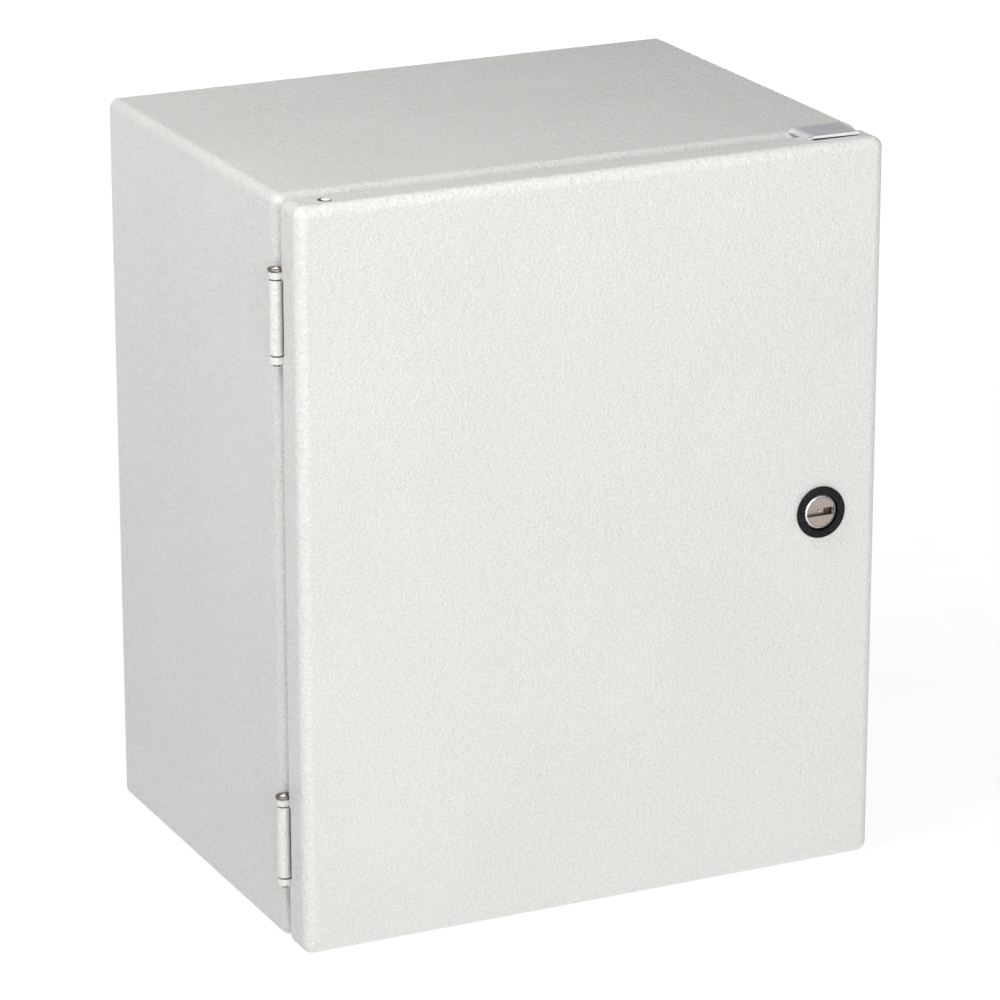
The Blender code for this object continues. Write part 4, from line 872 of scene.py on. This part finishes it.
def make_lock_barrel(place):
    """The slotted barrel with its square end, a well at one end of the slot lined in dark metal as painted
    shade, and a pip and a round rim in brighter nickel as painted highlights.
    """
    face_r = BARREL_HEAD_R - BARREL_CHAMFER
    seat = POCKET_DEPTH - GAP
    hole_r, hole_depth = TAPPED_HOLE
    loops = [
        circle(hole_r, LOCK_STEPS, hole_depth - SQUARE_END),
        circle(hole_r, LOCK_STEPS, -SQUARE_END),
        square_loop(CAM_SQUARE, LOCK_STEPS, -SQUARE_END),
        square_loop(CAM_SQUARE, LOCK_STEPS, -SHANK_END),
        circle(SHANK_R, LOCK_STEPS, -SHANK_END),
        circle(SHANK_R, LOCK_STEPS, -seat),
        circle(face_r, LOCK_STEPS, -seat),
        circle(face_r, LOCK_STEPS, BARREL_FACE),
    ]
    barrel = mesh_object("lock_insert", [moved(loops, place)])
    length, width, depth = SLOT
    slot_floor = BARREL_FACE - depth
    slot = [rounded_rectangle(length / 2, width / 2, SLOT_CORNER, 4, z)
            for z in (slot_floor, BARREL_FACE + OVERSHOOT)]
    slot = moved(slot, place)
    side, floor, end = width / 2, WELL_FLOOR - seat, face_r - WELL_WALL
    well = block(WELL_START, end, -side, side, floor, OVERSHOOT)
    combine(barrel, [slot], "DIFFERENCE")
    combine(barrel, [moved(well, place)], "DIFFERENCE")
    finished(barrel, "lock", "satin_nickel", ["lock_barrel"], 0.08 * MM)

    # The well's dark lining is painted shade: dark metal where the slot's end lies in shadow.
    start, near = WELL_START + 2 * WELL_SLACK, end - WELL_SLACK
    shade_blocks = [
        block(start, near, -side, side, floor, floor + WELL_SHADE_LINING),
        block(end - WELL_WALL, near, -side, side, floor + WELL_SHADE_LINING, WELL_SHADE_LINING_TOP),
    ]
    shade_lining = mesh_object("lock_well_shade", [moved(part, place) for part in shade_blocks])
    finished(shade_lining, "lock", "satin_nickel", look="painted_shade_nickel")

    # The pip is a turned centre mark in a brighter copy of the nickel, a painted glint.
    foot_r, tip_r = PIP_R
    shoulder, tip = PIP_TOP
    pip = turned([(foot_r, slot_floor), (foot_r, BARREL_FACE - shoulder), (tip_r, BARREL_FACE - tip)], 24)
    finished(mesh_object("lock_pip", [moved(pip, place)]), "lock", "satin_nickel", look="painted_highlight_nickel")

    # The chamfered rim is a brighter copy of the barrel's nickel: a painted highlight round its face.
    slope = bend((face_r, BARREL_FACE - BARREL_CHAMFER), BARREL_CHAMFER, 8, 82, steps=8)
    profile = [(face_r + 0.02 * MM, -seat), (BARREL_HEAD_R, -seat)] + slope
    rim = mesh_object("lock_rim_highlight", [moved(turned(profile, LOCK_STEPS), place)], ring=True)
    combine(rim, [slot], "DIFFERENCE")
    finished(rim, "lock", "satin_nickel", look="painted_highlight_nickel")


# ---------------------------------------------------------------- clip


def strip(outline, near, far):
    """A prism from an outline in x and z that runs back in y."""
    return [[(x, y, z) for x, z in outline] for y in (near, far)]


def make_clip():
    """A clear strip with a leg down behind the door's rim and a smooth ramp on its left; its front edge and
    left end are lighter copies of its plastic as painted highlights, the ramp a lighter copy as painted
    light, and a dark pad under its front edge a painted shadow.
    """
    low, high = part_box("clear_clip")
    base, top, end = HEIGHT + GAP, high.z, high.x - CLIP_SHORT
    start, front = low.x + CLIP_RAMP, low.y + CLIP_RIM
    left_under, right_under = [base + lift for lift in CLIP_LIFT]

    # The front edge strip and the left-end streak are lighter copies of the clear plastic: painted
    # highlights.
    corner = bend((end - CLIP_EDGE, top - CLIP_EDGE), CLIP_EDGE, 0, 90, steps=5)
    flat = [(start, left_under), (end, right_under)] + corner + [(start, top)]
    edges = mesh_object("clip_edge_highlight", [strip(flat, low.y, front)])
    finished(edges, "enclosure", "clear_plastic", look="clear_painted_highlight")

    # The ramp takes a lighter copy of the clear plastic: painted light.
    slope = [(low.x, base), (start, base)]
    for k in range(CLIP_RAMP_STEPS, -1, -1):
        share = k / CLIP_RAMP_STEPS
        rise = share * share * (3 - 2 * share)
        slope.append((low.x + share * CLIP_RAMP, base + CLIP_TOE + rise * (top - base - CLIP_TOE)))
    ramp = mesh_object("clip_ramp", [strip(slope, low.y, high.y)])
    finished(ramp, "enclosure", "clear_plastic", look="clear_painted_light")

    inner = start + CLIP_RIM
    highlight_streak = [(start, left_under), (inner, left_under), (inner, top), (start, top)]
    side = mesh_object("clip_end_highlight", [strip(highlight_streak, front, high.y)])
    finished(side, "enclosure", "clear_plastic", look="clear_painted_highlight")

    flat[0], flat[-1] = (inner, left_under), (inner, top)
    clip = mesh_object("clip", [strip(flat, front, high.y)])
    leg_front = FRONT + CLIP_LEG_DEPTH
    leg_ends = (start + CLIP_LEG_INSET, end - CLIP_LEG_INSET)
    leg = block(*leg_ends, leg_front, leg_front + CLIP_LEG, low.z, base + CLIP_LEG_ROOT)
    combine(clip, [leg], "UNION")
    finished(clip, "enclosure", "clear_plastic", ["clear_clip"])

    # A thin dark pad under the strip's front edge: a painted shadow line in the gap.
    left, right, foot = start + CLIP_SHADOW_PAD_ENDS[0], end - CLIP_SHADOW_PAD_ENDS[1], base - CLIP_SHADOW_PAD
    wedge = [
        (left, foot),
        (right, foot),
        (right, right_under - CLIP_SHADOW_PAD_SLACK),
        (left, left_under - CLIP_SHADOW_PAD_SLACK),
    ]
    shadow_pad = strip(wedge, low.y + CLIP_SHADOW_PAD_FRONT, leg_front - CLIP_SHADOW_PAD_BACK)
    finished(mesh_object("clip_shadow_pad", [shadow_pad]), "enclosure", "foam_rubber", edge=0.02 * MM)


# ---------------------------------------------------------------- fasteners


def seat_of(node, upright=False):
    """A place at the back (or foot) of a CAD node with local +Z along its axis, its length and half width."""
    low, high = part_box(node)
    middle = (low + high) / 2
    if upright:
        return Matrix.Translation((middle.x, middle.y, low.z)), high.z - low.z, (high.x - low.x) / 2
    return Matrix.Translation((middle.x, high.y, middle.z)) @ TO_FRONT, high.y - low.y, (high.x - low.x) / 2


def make_nut(node, body, hole_r, slot="zinc_plate", upright=False):
    """A hexagon nut with its corners turned off at both faces."""
    place, height, half_flats = seat_of(node, upright)
    corner = half_flats / math.cos(math.pi / 6)
    turns = [math.pi / 3 * (k + 0.5) for k in range(6)]
    hexagon = prism([(corner * math.cos(a), corner * math.sin(a)) for a in turns], 0.0, height)
    face_r = half_flats * NUT_FACE
    rise = NUT_SLOPE * (corner - half_flats) + 0.2 * MM
    lens = turned([(face_r, 0), (corner, rise), (corner, height - rise), (face_r, height)])
    nut = mesh_object(f"{node}_hexagon", [moved(hexagon, place)])
    combine(nut, [moved(lens, place)], "INTERSECT")
    mouth = hole_r + 2 * NUT_LEAD
    bore = [(mouth, -NUT_LEAD), (hole_r, NUT_LEAD), (hole_r, height - NUT_LEAD), (mouth, height + NUT_LEAD)]
    combine(nut, [moved(turned(bore, 48), place)], "DIFFERENCE")
    finished(nut, body, slot, [node])


def make_screw(node, body, shaft_r, head, outwards=True):
    """A pan-head screw with a cross recess; its thread is a row of fine grooves."""
    place, length, head_r = seat_of(node)
    if not outwards:
        place = place @ Matrix.Translation((0, 0, length)) @ Matrix.Rotation(math.pi, 4, "X")
    neck = length - head
    profile = [(shaft_r * SCREW_NOSE, 0.0)]
    for k in range(int(neck / THREAD_PITCH)):
        profile.append((shaft_r - THREAD_DEPTH, k * THREAD_PITCH + THREAD_START))
        profile.append((shaft_r, (k + 0.5) * THREAD_PITCH))
    profile += [(shaft_r, neck), (head_r - HEAD_EDGE, neck), (head_r, neck + HEAD_EDGE)]
    profile += crown(head_r, neck + head * HEAD_SIDE, head * (1 - HEAD_SIDE), range(0, 90, 10))
    screw = mesh_object(f"{node}_turned", [moved(turned(profile, 40), place)])
    arm, half = head_r * CROSS_REACH, head_r * CROSS_HALF
    depths = (length - head * CROSS_DEPTH, length + OVERSHOOT)
    for bar in (block(-arm, arm, -half, half, *depths), block(-half, half, -arm, arm, *depths)):
        combine(screw, [moved(bar, place)], "DIFFERENCE")
    finished(screw, body, "zinc_plate", [node])


def make_wall_plug(node):
    """A push-in plug with a domed head and two retaining ribs."""
    place, length, head_r = seat_of(node)
    head, side, shank_r = 2 * MM, 0.5 * MM, 3.9 * MM
    neck, pitch = length - head, 0.7 * MM
    profile = []
    for k in range(2):
        profile.append((shank_r - 0.4 * MM, 0.2 * MM + k * pitch))
        profile.append((shank_r, 0.55 * MM + k * pitch))
    profile += [(shank_r - 0.3 * MM, neck), (head_r - 0.2 * MM, neck)]
    profile += crown(head_r, neck + side, head - side, range(0, 90, 10))
    plug = mesh_object(f"{node}_domed", [moved(turned(profile), place)])
    finished(plug, "enclosure", "black_plastic", [node])


def make_gland_blank(number):
    """A knock-in blanking plug: a rounded head with a shallow dish and a threaded, hollow shank."""
    node = f"gland_blank_{number}"
    place, length, head_r = seat_of(node, upright=True)
    shank_r, head, edge = 12.4 * MM, 2.7 * MM, 0.9 * MM
    pitch, thread, wall = 1.5 * MM, 0.5 * MM, 2 * MM
    profile = [(head_r * 0.55, 0.5 * MM), (head_r * 0.62, 0.0)]
    profile += bend((head_r - edge, edge), edge, 270, 360, steps=6)
    profile += [(head_r, head), (shank_r, head)]
    for k in range(int((length - head) / pitch) - 1):
        profile.append((shank_r - thread, head + (k + 0.6) * pitch))
        profile.append((shank_r, head + (k + 1.1) * pitch))
    profile += [(shank_r - 0.8 * MM, length), (shank_r - wall, length), (shank_r - wall, head + 1 * MM)]
    blank = mesh_object(f"blanking_plug_{number}", [moved(turned(profile, 72), place)])
    finished(blank, "enclosure", "light_plastic", [node])
    make_nut(f"gland_locknut_{number}", "enclosure", shank_r + GAP, "light_plastic", upright=True)


def make_fasteners():
    for number in range(1, 5):
        make_nut(f"mounting_nut_{number}", "enclosure", STUD_R + GAP)
        make_nut(f"gland_nut_{number}", "enclosure", GLAND_STUD_R + GAP, upright=True)
        make_wall_plug(f"wall_plug_{number}")
    make_nut("lock_nut", "door", HOUSING_R + GAP)
    for number in (1, 2):
        make_screw(f"din_rail_screw_{number}", "enclosure", *PLATE_SCREW)
        make_screw(f"earth_bar_screw_{number}", "enclosure", *PLATE_SCREW)
        make_gland_blank(number)
    for number in (1, 2, 3):
        make_screw(f"line_screw_{number}", "enclosure", *TERMINAL_SCREW)
        make_screw(f"load_screw_{number}", "enclosure", *TERMINAL_SCREW)
    make_screw("cam_screw", "lock", *CAM_SCREW, outwards=False)


# ---------------------------------------------------------------- switch


def make_knob():
    """A round knob with a finger grip, finger scallops round its edge and a white pointer line."""
    low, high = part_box("switch_knob")
    middle = (low + high) / 2
    place = Matrix.Translation((middle.x, high.y, middle.z)) @ TO_FRONT
    tall = high.y - low.y
    profile = [(KNOB_R - KNOB_FOOT, 0.0), (KNOB_R, KNOB_FOOT)]
    profile += bend((KNOB_R - KNOB_EDGE, KNOB_DISC - KNOB_EDGE), KNOB_EDGE, 0, 90, steps=6)
    knob = mesh_object("knob", [moved(turned(profile, KNOB_STEPS), place)])
    combine(knob, knob_scallops(place), "DIFFERENCE")
    half_x, half_y, corner = GRIP
    grip = [rounded_rectangle(half_x, half_y, corner, 8, KNOB_DISC - GRIP_SINK)]
    for k in range(GRIP_STEPS + 1):
        angle = math.pi / 2 / GRIP_STEPS * k
        inset, rise = GRIP_EDGE * (1 - math.cos(angle)), GRIP_EDGE * math.sin(angle)
        height = tall - GRIP_EDGE + rise
        grip.append(rounded_rectangle(half_x - inset, half_y - inset, corner - inset, 8, height))
    combine(knob, [moved(grip, place)], "UNION")
    half, deep = SOCKET
    combine(knob, [moved(block(-half, half, -half, half, -OVERSHOOT, deep), place)], "DIFFERENCE")
    finished(knob, "switch_handle", "knob_plastic", ["switch_knob"])
    line = [rounded_rectangle(*POINTER, 8, z) for z in (tall - POINTER_SINK, tall + POINTER_PROUD)]
    line = moved(line, place @ Matrix.Translation((POINTER_REACH, 0, 0)))
    finished(mesh_object("knob_pointer", [line]), "switch_handle", "light_plastic", look="white_plastic")


def knob_scallops(place):
    """Cylinders that cut the finger scallops into the edge of the knob's disc."""
    cutters = []
    for k in range(SCALLOPS):
        turn = 2 * math.pi / SCALLOPS * (k + 0.5)
        x, y = (KNOB_R + SCALLOP_OUT) * math.cos(turn), (KNOB_R + SCALLOP_OUT) * math.sin(turn)
        cutter = [circle(SCALLOP_R, 16, z) for z in (-OVERSHOOT, KNOB_DISC + OVERSHOOT)]
        cutters.append(moved(cutter, place @ Matrix.Translation((x, y, 0))))
    return cutters


def make_marks():
    """A ring for off and a bar for on, raised a little on the switch cover beside the knob."""
    axis = middle_of("switch_knob")
    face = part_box("switch_cover")[0].y
    place = facing_front(axis.x, face - FRONT, axis.z)
    to_off, to_on = MARK_REACH
    inside = OFF_RING_R - MARK_LINE
    section = [
        (OFF_RING_R, -MARK_SINK),
        (OFF_RING_R, MARK_PROUD),
        (inside, MARK_PROUD),
        (inside, -MARK_SINK),
    ]
    ring = moved(turned(section, 48), place @ Matrix.Translation((to_off, 0, 0)))
    finished(mesh_object("off_mark", [ring], ring=True), "enclosure", "black_plastic")
    bar = [rounded_rectangle(MARK_LINE / 2, ON_BAR_HALF, 0.2 * MM, 4, z) for z in (-MARK_SINK, MARK_PROUD)]
    bar = moved(bar, place @ Matrix.Translation((0, -to_on, 0)))
    finished(mesh_object("on_mark", [bar]), "enclosure", "black_plastic")


# ---------------------------------------------------------------- stage


def make_area(name, place, target, size, power):
    lamp = bpy.data.lights.new(name, "AREA")
    lamp.shape = "RECTANGLE"
    lamp.size, lamp.size_y = size
    lamp.energy = power
    made = bpy.data.objects.new(name, lamp)
    bpy.context.scene.collection.objects.link(made)
    made.location = place
    made.rotation_euler = (Vector(target) - Vector(place)).to_track_quat("-Z", "Y").to_euler()


def make_world():
    """A white backdrop that the camera sees and that lights nothing."""
    world = bpy.data.worlds.new("studio")
    world.use_nodes = True
    backdrop = world.node_tree.nodes["Background"]
    backdrop.inputs["Color"].default_value = (1, 1, 1, 1)
    backdrop.inputs["Strength"].default_value = 1.0
    world.cycles_visibility.diffuse = False
    world.cycles_visibility.glossy = False
    bpy.context.scene.world = world


def white_sweep():
    """White paper that shines by itself, a little less near the cabinet, with a faint grain."""
    paper = bpy.data.materials.new("white_sweep")
    paper.use_nodes = True
    nodes, links = paper.node_tree.nodes, paper.node_tree.links
    shader = nodes["Principled BSDF"]
    grain = nodes.new("ShaderNodeTexNoise")
    grain.inputs["Scale"].default_value = FLOOR_GRAIN_SCALE
    place, away = nodes.new("ShaderNodeTexCoord"), nodes.new("ShaderNodeVectorMath")
    away.operation = "LENGTH"
    links.new(place.outputs["Object"], away.inputs[0])
    links.new(place.outputs["Object"], grain.inputs["Vector"])
    glow = nodes.new("ShaderNodeMapRange")
    glow.interpolation_type = "SMOOTHSTEP"
    for socket, value in FLOOR_GLOW.items():
        glow.inputs[socket].default_value = value
    links.new(away.outputs["Value"], glow.inputs["Value"])
    total = nodes.new("ShaderNodeMath")
    total.operation = "MULTIPLY_ADD"
    total.inputs[1].default_value = FLOOR_GRAIN
    links.new(grain.outputs["Fac"], total.inputs[0])
    links.new(glow.outputs["Result"], total.inputs[2])
    shader.inputs["Base Color"].default_value = FLOOR_GREY
    shader.inputs["Specular IOR Level"].default_value = 0.0
    shader.inputs["Emission Color"].default_value = (1, 1, 1, 1)
    links.new(total.outputs["Value"], shader.inputs["Emission Strength"])
    return paper


def make_camera():
    camera = bpy.data.objects.new("camera", bpy.data.cameras.new("camera"))
    bpy.context.scene.collection.objects.link(camera)
    camera.data.sensor_width = CAMERA_SENSOR
    camera.data.lens = CAMERA_LENS
    camera.location = CAMERA_PLACE
    camera.rotation_euler = Euler((math.pi / 2 - CAMERA_PITCH, 0, -CAMERA_YAW))
    bpy.context.scene.camera = camera


def make_stage():
    bpy.context.scene.view_settings.view_transform = "Standard"
    make_world()
    span = (-FLOOR_HALF, FLOOR_HALF)
    floor = mesh_object("floor", [block(*span, *span, -FLOOR_THICK, -FLOOR_DROP)])
    floor.data.materials.append(white_sweep())
    for name, lamp in LAMPS.items():
        make_area(name, *lamp)
    make_camera()


# ---------------------------------------------------------------- the whole


CAD_EDGES = {"switch_base": 0.6 * MM, "switch_cover": 0.7 * MM, "din_latch": 0.5 * MM, "earth_bar": 0.4 * MM}
FINISHES = make_finishes()
make_cabinet()
make_door()
make_door_seal()
for side in HINGES:
    make_hinge(side)
make_lock()
make_clip()
make_fasteners()
make_knob()
make_marks()
slots = {part["node"]: part["material_slot"] for part in frame["record"]["subparts"]}
shading = smooth_shading()
for name, node in frame["nodes"].items():
    if not node.hide_render:
        refine(node, FINISHES[slots[name]], CAD_EDGES.get(name, 0.3 * MM), shading)
make_stage()
